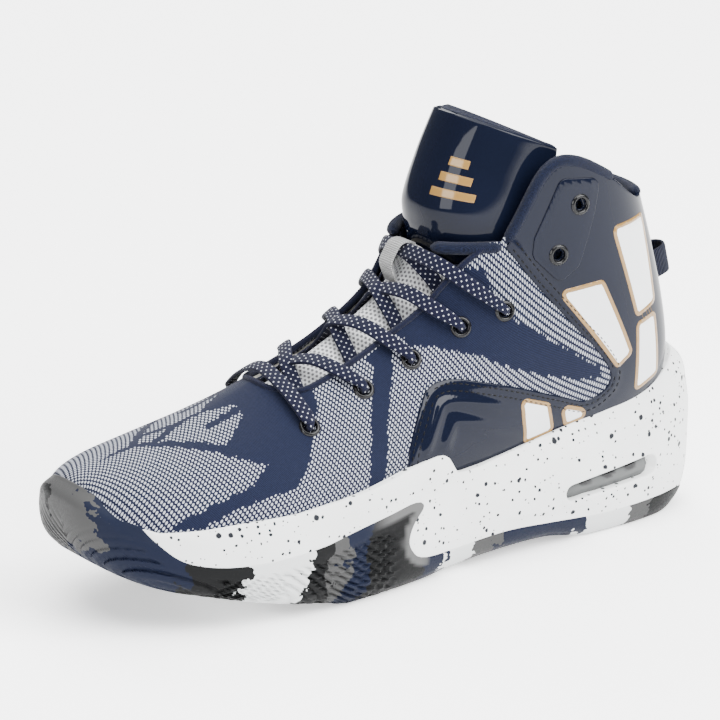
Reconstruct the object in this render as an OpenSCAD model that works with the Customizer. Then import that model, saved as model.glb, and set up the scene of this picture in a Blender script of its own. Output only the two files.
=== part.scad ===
// High-top basketball shoe for the left foot, an assembly of separate layers.
// +X runs to the toe, +Y to the outer (lateral) side, +Z up.
// The ground is z = 0 and the origin lies under the middle of the sole.

/* [Overall] */
// length of the sole block from heel to toe before its rim bulges
shoe_length = 300; // [250:1:360]
// width of the sole across the ball of the foot
sole_width = 104; // [87:1:125]
// height of the front of the tongue shield over the ground
shoe_height = 188; // [157:1:226]

/* [Upper layers] */
// thickness of the outer layer: knit and patent panels
outer_t = 1.6; // [1.2:0.1:2.4]
// thickness of the padding and the stiffeners behind the outer layer
padding_t = 1.2; // [0.8:0.1:2]
// thickness of the lining
lining_t = 0.8; // [0.6:0.1:1.2]
// extra thickness of the ankle foam where it is fullest
ankle_foam_t = 4.5; // [2:0.1:6]
// thickness of an overlay laid on the outer layer
overlay_t = 0.8; // [0.5:0.1:1.2]
// width of the rolled binding along the collar
collar_band_w = 4; // [3:0.1:6]

/* [Sole] */
// thickness of the rubber where it climbs the side wall
rubber_wall_t = 3; // [2:0.1:4.5]
// length of the air window along the heel
window_l = 52; // [36:1:60]
// height of the air window
window_h = 11; // [8:0.1:14]
// depth that the air cushion lies behind the foam wall
window_recess = 4; // [2:0.1:7]
// thickness of the sockliner foam at the heel
sockliner_t = 5; // [3:0.1:6]

/* [Eyelets and lace] */
// bore of every eyelet
eyelet_bore = 5.2; // [4.6:0.1:6.2]
// diameter of an eyelet's flange
eyelet_flange_d = 9; // [8:0.1:11]
// width of the flat lace
lace_w = 6.4; // [4:0.1:8]
// thickness of the flat lace
lace_t = 1.3; // [0.8:0.1:1.6]

/* [Tongue] */
// half width of the tongue shield
shield_half_w = 27.5; // [22:0.1:28]
// thickness of the padding behind the tongue shield
shield_pad_t = 4.5; // [3:0.1:6]

/* [Pull tab] */
// height of the webbing of the heel pull tab
tab_h = 13; // [9:0.1:16]
// length that the pull tab stands out behind the heel
tab_l = 15; // [12:0.1:20]

/* [Hidden] */
// scales of the station tables, which are written for a 300 x 104 x 188 shoe
kx = shoe_length / 300;
ky = sole_width / 104;
kz = shoe_height / 188;
// the shoe is wider on its outer side, so its middle plane lies off the middle of its box
side_shift = ky * -2.95;
big = 400;
seat_gap = 0.3;

// foot shape: share of the way from toe (0) to collar (1), then the bottom or back point x z,
// the top or front point x z, the outer and inner half width, the skew of the side line,
// and the squareness at the bottom and at the top
LAST = [
    [0.00, 150, 45, 151, 53, 7, 8, 1.2, 0.60, 0.90],
    [0.03, 147, 39, 148, 59, 19, 21, 1.3, 0.55, 0.95],
    [0.07, 141, 34, 142, 63, 29, 31, 1.4, 0.55, 1.00],
    [0.13, 127, 29, 129, 67, 39, 40, 1.5, 0.50, 1.05],
    [0.21, 106, 24, 108, 72, 46, 45, 1.6, 0.50, 1.10],
    [0.30, 80, 21, 83, 79, 51, 47, 1.8, 0.50, 1.20],
    [0.39, 52, 19, 60, 88, 50, 45, 1.9, 0.50, 1.35],
    [0.48, 24, 21, 38, 99, 47, 41, 1.9, 0.50, 1.40],
    [0.57, -6, 25, 17, 110, 43, 38, 1.7, 0.50, 1.35],
    [0.66, -40, 30, -2, 122, 40, 37, 1.4, 0.50, 1.20],
    [0.74, -82, 34, -12, 135, 39, 38, 1.1, 0.50, 1.00],
    [0.81, -122, 40, -17, 146, 40, 40, 1.0, 0.55, 0.90],
    [0.87, -139, 62, -21, 156, 41, 41, 1.0, 0.65, 0.85],
    [0.93, -137, 98, -26, 169, 41, 41, 1.0, 0.75, 0.85],
    [1.00, -119, 162, -38, 196, 39, 39, 1.0, 0.80, 0.85]
];
// shares at which the upper is sliced
SLICES = [0, 0.02, 0.045, 0.08, 0.13, 0.18, 0.24, 0.30, 0.36, 0.43, 0.51, 0.585, 0.66, 0.71,
    0.76, 0.805, 0.84, 0.87, 0.90, 0.93, 0.965, 1];
// points on half a slice
HALF = 11;

// sole outline: angle from the heel (0) to the toe (180), outer and inner half width
OUTLINE = [[0, 40, 40], [30, 43, 43], [60, 42, 40], [85, 44, 36], [105, 54, 42], [125, 61, 55],
    [145, 58, 62], [165, 50, 58], [180, 44, 50]];
roundness = 0.62;
// sole wall: share of the wall height, then the inset at the sides, at the heel and at the toe
WALL = [[0, 7, -1, 3], [0.07, 3, -4, -1], [0.18, 0.8, -5.5, -3.5], [0.38, 0, -6, -4.7],
    [0.62, 0.6, -6, -4.2], [0.84, 2.2, -2.5, -3], [1, 4.4, 5, -1]];
SOLE_STEPS = 22;
// underside of the sole: x and height over the ground
UNDERSIDE = [[-160, 10], [-147, 4.5], [-137, 1.2], [-128, 0], [-88, 0], [-78, 1.5], [-62, 4], [-30, 3],
    [-8, 1], [5, 0], [45, 0], [61, 3.5], [72, 5.5], [93, 10], [110, 14], [125, 17.5], [135, 21],
    [143, 25], [160, 36]];
// full height of the sole block, before the rim line trims it
BLOCK_TOP = [[-160, 76], [-145, 70], [-133, 64.5], [-104, 57.5], [-62, 51.5], [-38, 50], [-12, 54.5],
    [2, 54.5], [26, 50.5], [50, 47], [94, 45.5], [120, 45.5], [136, 49], [148, 60], [160, 68]];
// rim line of the sole: it dips behind the saddle and climbs the heel
RIM = [[-162, 74], [-145, 68.5], [-133, 62.8], [-120, 58.4], [-104, 55.7], [-84, 52.8], [-62, 49.4],
    [-38, 45.6], [-26, 44.1], [-12, 43.7], [-9.5, 47], [-7, 52], [-3, 53.4], [13, 51.9], [26, 49.3],
    [38, 47], [50, 45.7], [73, 44.4], [94, 44.5], [113, 43.5], [130, 43.6], [140, 48], [147, 56],
    [152, 61], [162, 66]];
// line on which the rubber of the wall meets the foam: the wave at midfoot and the toe bumper
RUBBER = [[-170, 12], [-148, 7], [-136, 9.4], [-96, 9.4], [-63, 11.4], [-39, 12.8], [-13, 11.4], [2, 11.2],
    [11, 13], [16, 18], [17, 23], [14, 29], [8, 35], [13, 37], [25, 35.5], [39, 33.5], [51, 31.4],
    [63, 29.4], [86, 27.8], [106, 27.8], [121, 31], [130, 38], [137, 48], [143, 60], [150, 80]];
// top of the rubber floor under the foam
RUBBER_FLOOR = [[-170, 12], [-145, 8], [-134, 5.5], [-88, 5], [-62, 8], [-30, 7.5], [0, 5], [48, 5],
    [72, 10], [93, 14.5], [110, 18.5], [125, 22], [135, 26], [143, 31], [170, 48]];
// edge between the strobel board and the walls of the upper
BOARD_EDGE = [[-170, 62], [-145, 54], [-120, 47], [-82, 41], [-40, 37], [-6, 32], [24, 28], [52, 26],
    [80, 27], [106, 30], [127, 35], [147, 45], [170, 58]];
// top of the sockliner foam with the standard thickness
FOOTBED = [[-170, 62], [-150, 56], [-118, 49], [-82, 44], [-40, 40], [-6, 35], [24, 31], [52, 29],
    [80, 31], [106, 34], [127, 39], [141, 45], [170, 62]];
// rear edge of the knit, from the front of the ankle flap down to the sole
KNIT_EDGE = [[-41, 137], [-44, 133], [-55, 118], [-74, 97], [-84, 87], [-93, 76], [-95.5, 70], [-93, 65],
    [-83, 61], [-68, 66], [-46, 74], [-30, 79], [-15, 83], [-6, 83], [0, 80], [4, 74], [8, 67],
    [12, 59], [14, 52], [17, 40], [17, 0]];
// top edge of the flap, the ankle and the heel
COLLAR_EDGE = [[-41, 137], [-44, 142.5], [-48, 149.5], [-55, 162], [-60, 168], [-66, 171], [-73, 170.5],
    [-82, 167], [-96, 159], [-106, 151.5], [-118, 147], [-160, 146]];
// throat opening seen square to the instep: distance up the instep, half width
THROAT = [[-4, 0], [-3, 9], [1, 15], [8, 19], [28, 20], [50, 20.5], [74, 23], [93, 27], [112, 33]];
instep_front = [58, 88];
instep_tilt = 34;

// eyelets of the lace row: share and angle on the foot shape
EYES = [[0.406, 138], [0.514, 137], [0.604, 133], [0.698, 126], [0.770, 115]];
// eyelets of the ankle flap
ANKLE_EYES = [[0.894, 107], [0.952, 97]];
// wall of an eyelet's barrel, its flange, and the clearance of the hole in the upper
barrel_t = 0.6;
flange_t = 0.9;
flange_lift = 0.3;
hole_gap = 0.15;
hole_d = eyelet_bore + 2 * (barrel_t + hole_gap);
hole_reach = 12;

// trim: throat binding, heel backstay, ankle patch in the side view
binding_w = 3;
backstay_w = 16;
backstay_front = -100;
ANKLE_PATCH = [[-66, 162], [-85, 160], [-82, 146], [-74, 124], [-65, 118], [-53, 130], [-54, 138]];
patch_corner_r = 3;
// abstract bars of the print in the side view, and the width of the line round them
BARS = [
    [[-94, 136], [-113, 137], [-119, 100], [-108, 97]],
    [[-109, 91], [-119, 93], [-124, 66], [-112, 62]],
    [[-67, 112.5], [-86, 114], [-104, 80], [-98, 76]],
    [[-48, 68], [-61, 63.5], [-65, 52], [-52, 50]],
    [[-71, 60.5], [-80, 57.5], [-83, 54.8], [-74, 53.2]]
];
rim_w = 1.8;

// stretch of the lace from one eyelet to the next on the other side: share of the way, angle from
// the middle of the instep as a share, depth, half width, half thickness, share of the lift that
// carries one half of the lace over the other
under_d = -5.1;
STRETCH = [[0, 1, 1.9, 0.23, 0.7, 0], [0, 1, -4.5, 0.23, 0.7, 0], [0.1, 0.82, under_d, 0.46, 0.5, 0],
    [0.2, 0.6, under_d, 0.5, 0.5, 0], [0.28, 0.3, -3.7, 0.5, 0.5, 0.5], [0.37, 0, -2.0, 0.48, 0.5, 1],
    [0.62, -0.42, 1.2, 0.5, 0.5, 0.6], [0.8, -0.72, 2.7, 0.5, 0.5, 0], [0.95, -0.91, 2.9, 0.38, 0.5, 0]];
// lift of the upper and of the lower half where they cross
over_lift = 0.5;
under_lift = -1.2;
// inside the last eyelet and down to the tail: share, angle, depth
TAIL = [[0.755, 112, -5], [0.74, 108, -5.2], [0.72, 105, -5.4], [0.70, 102, -5.4]];
tail_end = [0.655, 100, -5.8];
// bar over the lowest pair of eyelets: share of the angle, depth
BAR = [[0.91, 2.9], [0.6, 2.8], [0, 2.6], [-0.6, 2.8], [-0.91, 2.9]];
aglet_d = 2.6;
// corners of the lace's section, as shares of its half width and half thickness
SECTION = [[1, -0.4], [0.8, -1], [-0.8, -1], [-1, -0.4], [-1, 0.4], [-0.8, 1], [0.8, 1], [1, 0.4]];

// tongue: share, half angle, depth of its outer face
TONGUE = [[0.35, 30, -3.8], [0.38, 34, -5], [0.42, 38, -6.8], [0.50, 40, -6.8], [0.60, 42, -6.8],
    [0.66, 44, -6.8], [0.715, 46, -6.7], [0.745, 46, -5.4]];
tongue_cover_t = 0.9;
tongue_foam_t = 2.2;
// webbing loop that keeps the lace on the tongue: share and depth of its outer face
LOOP = [[0.744, -4.6], [0.741, -1], [0.728, 1.5], [0.70, 1.7], [0.684, 0.8], [0.674, -2.6], [0.668, -6.4]];
loop_w = 9;
loop_t = 1.1;
// shield: share of its height, front x, z, depth back from the front
SHIELD = [[0, -22.6, 126, 32], [0.14, -20.8, 134, 34], [0.28, -19.4, 142, 36], [0.44, -19.2, 151, 37],
    [0.72, -25.5, 169, 38], [0.9, -31, 181, 36], [1, -34.5, 188, 34]];
shield_shell_t = 1.4;
shield_slope = 0.42;
// half the angle that the shield turns round the shin, and the squareness of its section
shield_turn = 100;
shield_round = 0.85;

// sockliner cover, and the thickness that the footbed line is drawn for
cover_t = 0.9;
footbed_t = 5;

// air window: middle of it in the side view, radius of its ends as a share of its height
window_at = [-96, 24.5];
WINDOW_ENDS = [[-1, 1.5, 0.4], [1, -1.5, 0.32]];

// pull tab: root x z, lean, half width and thickness of the webbing
tab_root = [-136.4, 104];
tab_lean = 13;
tab_half_w = 8;
tab_t = 1.6;

// value of a table's smooth curve at t
function spot(tab, t, i = 0) = (i >= len(tab) - 2 || t < tab[i + 1][0]) ? i : spot(tab, t, i + 1);
function slope(tab, k) =
    let (a = max(k - 1, 0), b = min(k + 1, len(tab) - 1)) (tab[b] - tab[a]) / (tab[b][0] - tab[a][0]);
function curve(tab, t) =
    let (
        i = spot(tab, t),
        h = tab[i + 1][0] - tab[i][0],
        u = (t - tab[i][0]) / h,
        v = u * u,
        w = v * u
    )
    (2 * w - 3 * v + 1) * tab[i] + (w - 2 * v + u) * h * slope(tab, i)
    + (3 * v - 2 * w) * tab[i + 1] + (w - v) * h * slope(tab, i + 1);

// point on the foot shape, from a table row r and the angle a: 0 bottom, 180 top, + outer side
function fold(a) = a > 180 ? a - 360 : (a < -180 ? a + 360 : a);
function bare(r, a) =
    let (
        h = pow((1 - cos(a)) / 2, r[7]),
        p = r[8] + (r[9] - r[8]) * abs(a) / 180,
        w = sign(a) * (a > 0 ? r[5] : r[6]) * pow(abs(sin(a)), p)
    )
    [kx * (r[1] + (r[3] - r[1]) * h), ky * w + side_shift, kz * (r[2] + (r[4] - r[2]) * h)];
function unit(v) = v / max(norm(v), 0.000001);
function normal(s, a) =
    let (e = 0.002, up = curve(LAST, min(s + e, 1)), down = curve(LAST, max(s - e, 0)), r = curve(LAST, s))
    unit(cross(bare(up, a) - bare(down, a), bare(r, fold(a + 1)) - bare(r, fold(a - 1))));
// point at depth d under (-) or over (+) the foot shape
function skin(s, a, d) = bare(curve(LAST, s), fold(a)) + d * normal(s, fold(a));

// depth of the layer faces: 0 outer face, 1 behind the outer layer, 2 behind the padding,
// 3 inner face of the lining, 4 face of the sockliner, -1 outer face of an overlay
function foam_swell(s, a) =
    (s < 0.82 || abs(a) > 100) ? 0 : ankle_foam_t * pow(sin(180 * (s - 0.82) / 0.18), 2) * cos(0.9 * abs(a));
function depth(k, s, a) =
    k == -1 ? overlay_t :
    k == 0 ? 0 :
    k == 1 ? -outer_t :
    k == 2 ? -outer_t - padding_t - foam_swell(s, a) :
    k == 3 ? -outer_t - padding_t - lining_t - foam_swell(s, a) :
    -outer_t - padding_t - lining_t - seat_gap - foam_swell(s, a);

// closed solid through rings of points, each ring of an even number of points
module through(rings) {
    n = len(rings);
    m = len(rings[0]);
    // the second half of a ring is split along the other diagonal, so that stacked patches meet
    walls = [for (i = [0 : n - 2], j = [0 : m - 1])
        let (k = (j + 1) % m, a = i * m + j, b = i * m + k)
        each (j < m / 2 ? [[a, b, b + m], [a, b + m, a + m]] : [[a, b, a + m], [b, b + m, a + m]])];
    first_cap = [for (j = [0 : m / 2 - 2])
        each [[j, m - 2 - j, j + 1], [j, m - 1 - j, m - 2 - j]]];
    e = (n - 1) * m;
    last_cap = [for (j = [0 : m / 2 - 2])
        each [[e + j, e + j + 1, e + m - 2 - j], [e + j, e + m - 2 - j, e + m - 1 - j]]];
    polyhedron(points = [for (r = rings) each r], faces = concat(walls, first_cap, last_cap));
}

// foot shape as a closed solid, at the depth of layer face k
module foot(k) {
    through([for (s = SLICES) [for (j = [0 : 2 * HALF - 1])
        let (a = fold(j * 180 / HALF)) skin(s, a, depth(k, s, a))]]);
}

// layer between two faces
module layer(outer, inner) {
    difference() {
        foot(outer);
        foot(inner);
    }
}

// patch that follows the foot shape: for each share, angles from a0 to a1 and depths from d0 to d1
module patch(rows, steps) {
    through([for (r = rows) concat(
        [for (j = [0 : steps]) skin(r[0], r[1] + (r[2] - r[1]) * j / steps, r[4])],
        [for (j = [steps : -1 : 0]) skin(r[0], r[1] + (r[2] - r[1]) * j / steps, r[3])])]);
}

// everything below, or above, a line of points x z
module below(line, lift = 0) {
    for (i = [0 : len(line) - 2])
        slab(line[i], line[i + 1], lift, -big);
}
module above(line) {
    for (i = [0 : len(line) - 2])
        slab(line[i], line[i + 1], 0, big);
}
module slab(p, q, lift, reach) {
    hull() across() polygon([p + [0, lift], q + [0, lift], [q[0], reach], [p[0], reach]]);
}
// outline x z pushed right across the shoe, or over one side of it
module across(from = -big / 2, to = big / 2) {
    translate([0, to, 0]) rotate([90, 0, 0]) linear_extrude(to - from) scale([kx, kz]) children();
}
module one_side(side) {
    across(side > 0 ? side_shift : -big / 2, side > 0 ? big / 2 : side_shift) children();
}

module collar_outline() {
    polygon(concat(COLLAR_EDGE, [[-200, 146], [-200, -50], [300, -50], [300, 137]]));
}
module knit_outline() {
    polygon(concat(KNIT_EDGE, [[17, -60], [300, -60], [300, 200], [-41, 200]]));
}
// foam of the collar, above the counter and the throat
module collar_foam_outline() {
    polygon([[-36, 128], [-60, 112], [-88, 99], [-110, 94], [-170, 90], [-170, 220], [-30, 220]]);
}
module counter_outline() {
    polygon([[-82, 30], [-86, 62], [-92, 84], [-102, 95.6], [-110, 94], [-170, 90], [-170, 20]]);
}
module toe_puff_outline() {
    polygon([[104, 0], [108, 44], [100, 60], [106, 90], [200, 90], [200, 0]]);
}
// throat prism, wider by the given margin
module throat(margin = 0) {
    translate([kx * instep_front[0], side_shift, kz * instep_front[1]])
        rotate([0, instep_tilt, 0])
            translate([0, 0, -25]) linear_extrude(50) mirror([1, 0])
                offset(delta = margin) polygon(concat(
                    [for (p = THROAT) [kx * p[0], ky * p[1]]],
                    [for (i = [len(THROAT) - 1 : -1 : 1]) [kx * THROAT[i][0], -ky * THROAT[i][1]]]));
}
module lace_holes() {
    for (side = [-1, 1], e = concat(EYES, ANKLE_EYES))
        hull() at_skin(e[0], side * e[1], -hole_reach) cylinder(h = 1.5 * hole_reach, d = hole_d, $fn = 16);
}
// frame whose Z stands square on the foot shape
module at_skin(s, a, d) {
    n = normal(s, a);
    translate(skin(s, a, d)) rotate([0, acos(n[2]), atan2(n[1], n[0])]) children();
}
// walls of the upper: a layer without its floor, throat, holes and the space over the collar
module walls(outer, inner) {
    difference() {
        intersection() {
            layer(outer, inner);
            across() collar_outline();
        }
        below(BOARD_EDGE);
        throat();
        lace_holes();
    }
}
// sole block, smaller all round by the given inset
module sole_block(inset) {
    through([for (w = WALL) [for (j = [0 : 2 * SOLE_STEPS - 1])
        let (
            t = j <= SOLE_STEPS ? j * 180 / SOLE_STEPS : (2 * SOLE_STEPS - j) * 180 / SOLE_STEPS,
            side = j <= SOLE_STEPS ? 1 : -1,
            heel = pow(max(cos(t), 0), 2),
            toe = pow(max(-cos(t), 0), 4),
            pull = inset + w[1] + (w[2] - w[1]) * heel + (w[3] - w[1]) * toe,
            half = curve(OUTLINE, t)[side > 0 ? 1 : 2] * pow(sin(t), roundness),
            x = -(150 - pull) * cos(t),
            low = max(curve(UNDERSIDE, x)[1], 0),
            top = curve(BLOCK_TOP, x)[1]
        )
        [kx * x, ky * side * max(half - pull * sin(t), 0) + side_shift, kz * (low + (top - low) * w[0])]]]);
}
// all that is rubber, far past the sole's own wall
module rubber_reach() {
    difference() {
        union() {
            across() polygon(concat(RUBBER, [[200, 80], [200, -60], [-200, -60], [-200, 12]]));
            below(RUBBER_FLOOR);
        }
        sole_core();
    }
}
module sole_core() {
    intersection() {
        sole_block(rubber_wall_t);
        above(RUBBER_FLOOR);
    }
}
module window_tunnel() {
    translate([kx * window_at[0], big / 2, kz * window_at[1]])
        rotate([90, 0, 0]) linear_extrude(big)
            hull() {
                for (end = WINDOW_ENDS)
                    translate([end[0] * (window_l / 2 - window_h * end[2]), end[1]])
                        circle(r = window_h * end[2], $fn = 24);
            }
}

/* [Nodes] */
// sub-part to build, or all of them

// ---- sole ----
module outsole() {
    color("#26272b") difference() {
        intersection() {
            sole_block(0);
            rubber_reach();
        }
        foot(0);
        above(RIM);
    }
}
module midsole() {
    color("#f1f1ef") difference() {
        sole_block(0);
        rubber_reach();
        foot(0);
        above(RIM);
        window_tunnel();
    }
}
module air_cushion() {
    color("#9a9da0") intersection() {
        window_tunnel();
        sole_core();
        sole_block(window_recess);
    }
}
module strobel_board() {
    color("#d9d8d2") intersection() {
        layer(0, 2);
        below(BOARD_EDGE);
    }
}

// ---- outer layer ----
module knit_upper() {
    color("#7d8190") intersection() {
        walls(0, 1);
        across() knit_outline();
    }
}
module patent_panel(side) {
    color("#1c2444") difference() {
        intersection() {
            walls(0, 1);
            one_side(side) offset(delta = -collar_band_w) collar_outline();
        }
        across() knit_outline();
    }
}
module patent_panel_lateral() {
    patent_panel(1);
}
module patent_panel_medial() {
    patent_panel(-1);
}

// ---- padding, stiffeners and lining ----
module toe_puff() {
    color("#c9c6bd") intersection() {
        walls(1, 2);
        across() toe_puff_outline();
    }
}
module eyestay_backing() {
    color("#30343c") difference() {
        intersection() {
            walls(1, 2);
            throat(19);
        }
        across() toe_puff_outline();
        across() collar_foam_outline();
    }
}
module vamp_padding() {
    color("#e2e0da") difference() {
        walls(1, 2);
        throat(19);
        across() toe_puff_outline();
        across() collar_foam_outline();
        across() counter_outline();
    }
}
module heel_counter() {
    color("#b9b6ad") difference() {
        intersection() {
            walls(1, 2);
            across() counter_outline();
        }
        across() collar_foam_outline();
    }
}
module collar_foam() {
    color("#e8d9a8") intersection() {
        walls(1, 2);
        across() intersection() {
            collar_foam_outline();
            offset(delta = -collar_band_w) collar_outline();
        }
    }
}
module inner_lining() {
    difference() {
        intersection() {
            layer(2, 3);
            across() offset(delta = -collar_band_w) collar_outline();
        }
        throat();
        lace_holes();
    }
}
module vamp_lining() {
    color("#cfd0d4") difference() {
        inner_lining();
        across() collar_lining_outline();
    }
}
module collar_lining() {
    color("#20284a") intersection() {
        inner_lining();
        across() collar_lining_outline();
    }
}
module collar_lining_outline() {
    polygon([[-20, 140], [-44, 110], [-70, 88], [-96, 72], [-170, 66], [-170, 220], [-20, 220]]);
}

// ---- trim ----
module collar_binding() {
    color("#20284a") difference() {
        intersection() {
            layer(0, 3);
            across() difference() {
                collar_outline();
                offset(delta = -collar_band_w) collar_outline();
            }
        }
        below(BOARD_EDGE);
        throat();
        across() knit_outline();
    }
}
module backstay() {
    color("#1c2444") intersection() {
        layer(-1, 0);
        translate([-big, side_shift - backstay_w / 2, 0])
            cube([big + kx * backstay_front, backstay_w, big]);
        across() offset(delta = -collar_band_w) collar_outline();
        above(RIM);
    }
}
module ankle_patch(side) {
    color("#232b4d") difference() {
        intersection() {
            layer(-1, 0);
            one_side(side) offset(r = patch_corner_r, $fn = 16) offset(delta = -patch_corner_r)
                polygon(ANKLE_PATCH);
        }
        lace_holes();
    }
}
module ankle_patch_lateral() {
    ankle_patch(1);
}
module ankle_patch_medial() {
    ankle_patch(-1);
}
module throat_binding() {
    color("#1b2140") difference() {
        intersection() {
            layer(-1, 0);
            throat(binding_w);
            across() intersection() {
                knit_outline();
                polygon([[-38, 300], [-38, 129], [-33, 129], [-33, 137], [300, 137], [300, -60],
                    [-38, -60]]);
            }
        }
        throat();
        lace_holes();
    }
}
module bars(margin) {
    for (b = BARS)
        offset(delta = margin) offset(delta = -1) polygon(b);
}
module motif(side) {
    color("#f4f4f2") intersection() {
        layer(-1, 0);
        one_side(side) bars(1);
        above(BOARD_EDGE);
    }
}
module motif_lateral() {
    motif(1);
}
module motif_medial() {
    motif(-1);
}
module motif_outline(side) {
    color("#c9a862") intersection() {
        layer(-1, 0);
        one_side(side) difference() {
            bars(1 + rim_w);
            bars(1);
        }
        above(BOARD_EDGE);
    }
}
module motif_outline_lateral() {
    motif_outline(1);
}
module motif_outline_medial() {
    motif_outline(-1);
}

// ---- eyelets ----
module eyelet(reach) {
    bore_r = eyelet_bore / 2;
    rotate_extrude($fn = 32)
        polygon([[bore_r, -reach], [bore_r + barrel_t, -reach], [bore_r + barrel_t, flange_lift],
            [eyelet_flange_d / 2, flange_lift], [eyelet_flange_d / 2 - 0.4, flange_lift + 0.6],
            [bore_r + 0.8, flange_lift + flange_t], [bore_r, flange_lift + 0.6]]);
}
module lace_eyelets() {
    color("#121318") for (side = [-1, 1], e = EYES)
        at_skin(e[0], side * e[1], 0) eyelet(outer_t + padding_t + lining_t);
}
module ankle_eyelets() {
    color("#121318") for (side = [-1, 1], e = ANKLE_EYES)
        at_skin(e[0], side * e[1], overlay_t) eyelet(outer_t + padding_t + lining_t + overlay_t);
}

// ---- lace ----

// rings of the lace are [share, angle, depth, half width, half thickness]
function stretch(i, side, lift) = [for (r = STRETCH) let (
        e = EYES[i],
        f = EYES[i + 1],
        open = r[1] > 0 ? 180 - e[1] : 180 - f[1])
    [e[0] + (f[0] - e[0]) * r[0], 180 - side * r[1] * open, r[2] + lift * r[5],
        lace_w * r[3], lace_t * r[4]]];
function half_lace(side, lift) = concat(
    [for (i = [0 : len(EYES) - 2]) each stretch(i, i % 2 == 0 ? side : -side, lift)],
    let (e = EYES[len(EYES) - 1], last = len(EYES) % 2 == 1 ? side : -side) concat(
        [for (r = [STRETCH[0], STRETCH[1]]) [e[0], last * e[1], r[2], lace_w * r[3], lace_t * r[4]]],
        [for (r = TAIL) [r[0], last * r[1], r[2],
            r == TAIL[3] ? aglet_d * 0.42 : lace_w * 0.46, lace_t * 0.5]]));
function reversed(list) = [for (i = [len(list) - 1 : -1 : 0]) list[i]];
function lace_rings() = concat(
    reversed(half_lace(1, over_lift)),
    [for (b = BAR) [EYES[0][0], 180 - b[0] * (180 - EYES[0][1]), b[1], lace_w / 2, lace_t / 2]],
    half_lace(-1, under_lift));
module lace() {
    rings = lace_rings();
    spine = [for (r = rings) skin(r[0], r[1], r[2])];
    n = len(rings);
    color("#2b2c52") through([for (i = [0 : n - 1])
        let (
            ahead = unit(spine[min(i + 1, n - 1)] - spine[max(i - 1, 0)]),
            row = curve(LAST, rings[i][0] + 0.002),
            up = bare(row, fold(rings[i][1])) - skin(rings[i][0], rings[i][1], 0),
            wide = unit(up - (up * ahead) * ahead),
            thick = cross(ahead, wide)
        )
        [for (c = SECTION) spine[i] + c[0] * rings[i][3] * wide + c[1] * rings[i][4] * thick]]);
}
module aglets() {
    color("#3a3b5e") for (side = [1, -1]) {
        tail = TAIL[len(TAIL) - 1];
        from = skin(tail[0], side * tail[1], tail[2]);
        way = skin(tail_end[0], side * tail_end[1], tail_end[2]) - from;
        translate(from + unit(way) * 0.2)
            rotate([0, acos(way[2] / norm(way)), atan2(way[1], way[0])])
                cylinder(h = norm(way), d = aglet_d, $fn = 24);
    }
}

// ---- mesh tongue ----
module tongue_layer(top, bottom) {
    patch([for (r = TONGUE) [r[0], 180 - r[1], 180 + r[1], r[2] - bottom, r[2] - top]], 10);
}
module tongue_mesh() {
    color("#a5a7ab") tongue_layer(0, tongue_cover_t);
}
module tongue_mesh_foam() {
    color("#d8d4c4") tongue_layer(tongue_cover_t, tongue_cover_t + tongue_foam_t);
}
module tongue_mesh_lining() {
    color("#6e7178") tongue_layer(tongue_cover_t + tongue_foam_t, tongue_cover_t + tongue_foam_t + lining_t);
}
module lace_loop() {
    n = len(LOOP);
    spine = [for (p = LOOP) skin(p[0], 180, p[1])];
    color("#a9abad") through([for (i = [0 : n - 1])
        let (
            ahead = unit(spine[min(i + 1, n - 1)] - spine[max(i - 1, 0)]),
            out = unit(cross([0, 1, 0], ahead))
        )
        [for (c = [[1, 0], [-1, 0], [-1, 1], [1, 1]])
            spine[i] + [0, c[0] * loop_w / 2, 0] - c[1] * loop_t * out]]);
}

// ---- tongue shield ----
function shield_point(t, turn, inset) =
    let (r = curve(SHIELD, t), back = r[3] * (1 - cos(turn)))
    [kx * (r[1] - back) - inset * cos(turn),
        (shield_half_w - inset) * sign(turn) * pow(abs(sin(turn)), shield_round) + side_shift,
        kz * (r[2] - shield_slope * back * t)];
module shield_layer(outer, inner, low = 0, high = 1, from = shield_turn, to = -shield_turn, steps = 10) {
    rows = 6;
    through([for (i = [0 : rows]) let (t = low + (high - low) * i / rows) concat(
        [for (j = [0 : steps]) shield_point(t, from + (to - from) * j / steps, outer)],
        [for (j = [steps : -1 : 0]) shield_point(t, from + (to - from) * j / steps, inner)])]);
}
module tongue_shield() {
    color("#1d2547") shield_layer(0, shield_shell_t);
}
module shield_foam() {
    color("#e8d9a8") shield_layer(shield_shell_t, shield_shell_t + shield_pad_t);
}
module shield_lining() {
    color("#20284a") shield_layer(shield_shell_t + shield_pad_t, shield_shell_t + shield_pad_t + lining_t);
}
module shield_motif() {
    color("#c9a862") for (i = [0 : 2])
        shield_layer(-0.5, -0.1, 0.52 + 0.1 * i, 0.57 + 0.1 * i, 14 + 4 * i, 50 - 6 * i, 4);
}

// ---- sockliner ----
module sockliner_foam() {
    color("#2a2f45") intersection() {
        foot(4);
        below(FOOTBED, sockliner_t - footbed_t);
    }
}
module sockliner_cover() {
    color("#20284a") difference() {
        intersection() {
            foot(4);
            below(FOOTBED, sockliner_t - footbed_t + cover_t);
        }
        below(FOOTBED, sockliner_t - footbed_t);
    }
}

// ---- heel pull tab ----
module pull_tab() {
    color("#232a4c") translate([kx * tab_root[0], side_shift, kz * tab_root[1]]) rotate([0, tab_lean, 0])
        intersection() {
            translate([0, 0, -tab_h / 2]) linear_extrude(tab_h) difference() {
                tab_plan(0);
                tab_plan(tab_t);
            }
            translate([-tab_l, 0, 0]) rotate([90, 0, 0])
                cylinder(h = 4 * tab_half_w, r = tab_l, center = true, $fn = 64);
        }
}
module tab_plan(inset) {
    tip_r = tab_half_w - 2 - inset;
    hull() {
        translate([-tab_l + tip_r + inset, 0]) circle(r = tip_r, $fn = 32);
        translate([0, -tab_half_w + inset]) square([1, 2 * (tab_half_w - inset)]);
    }
}

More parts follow.
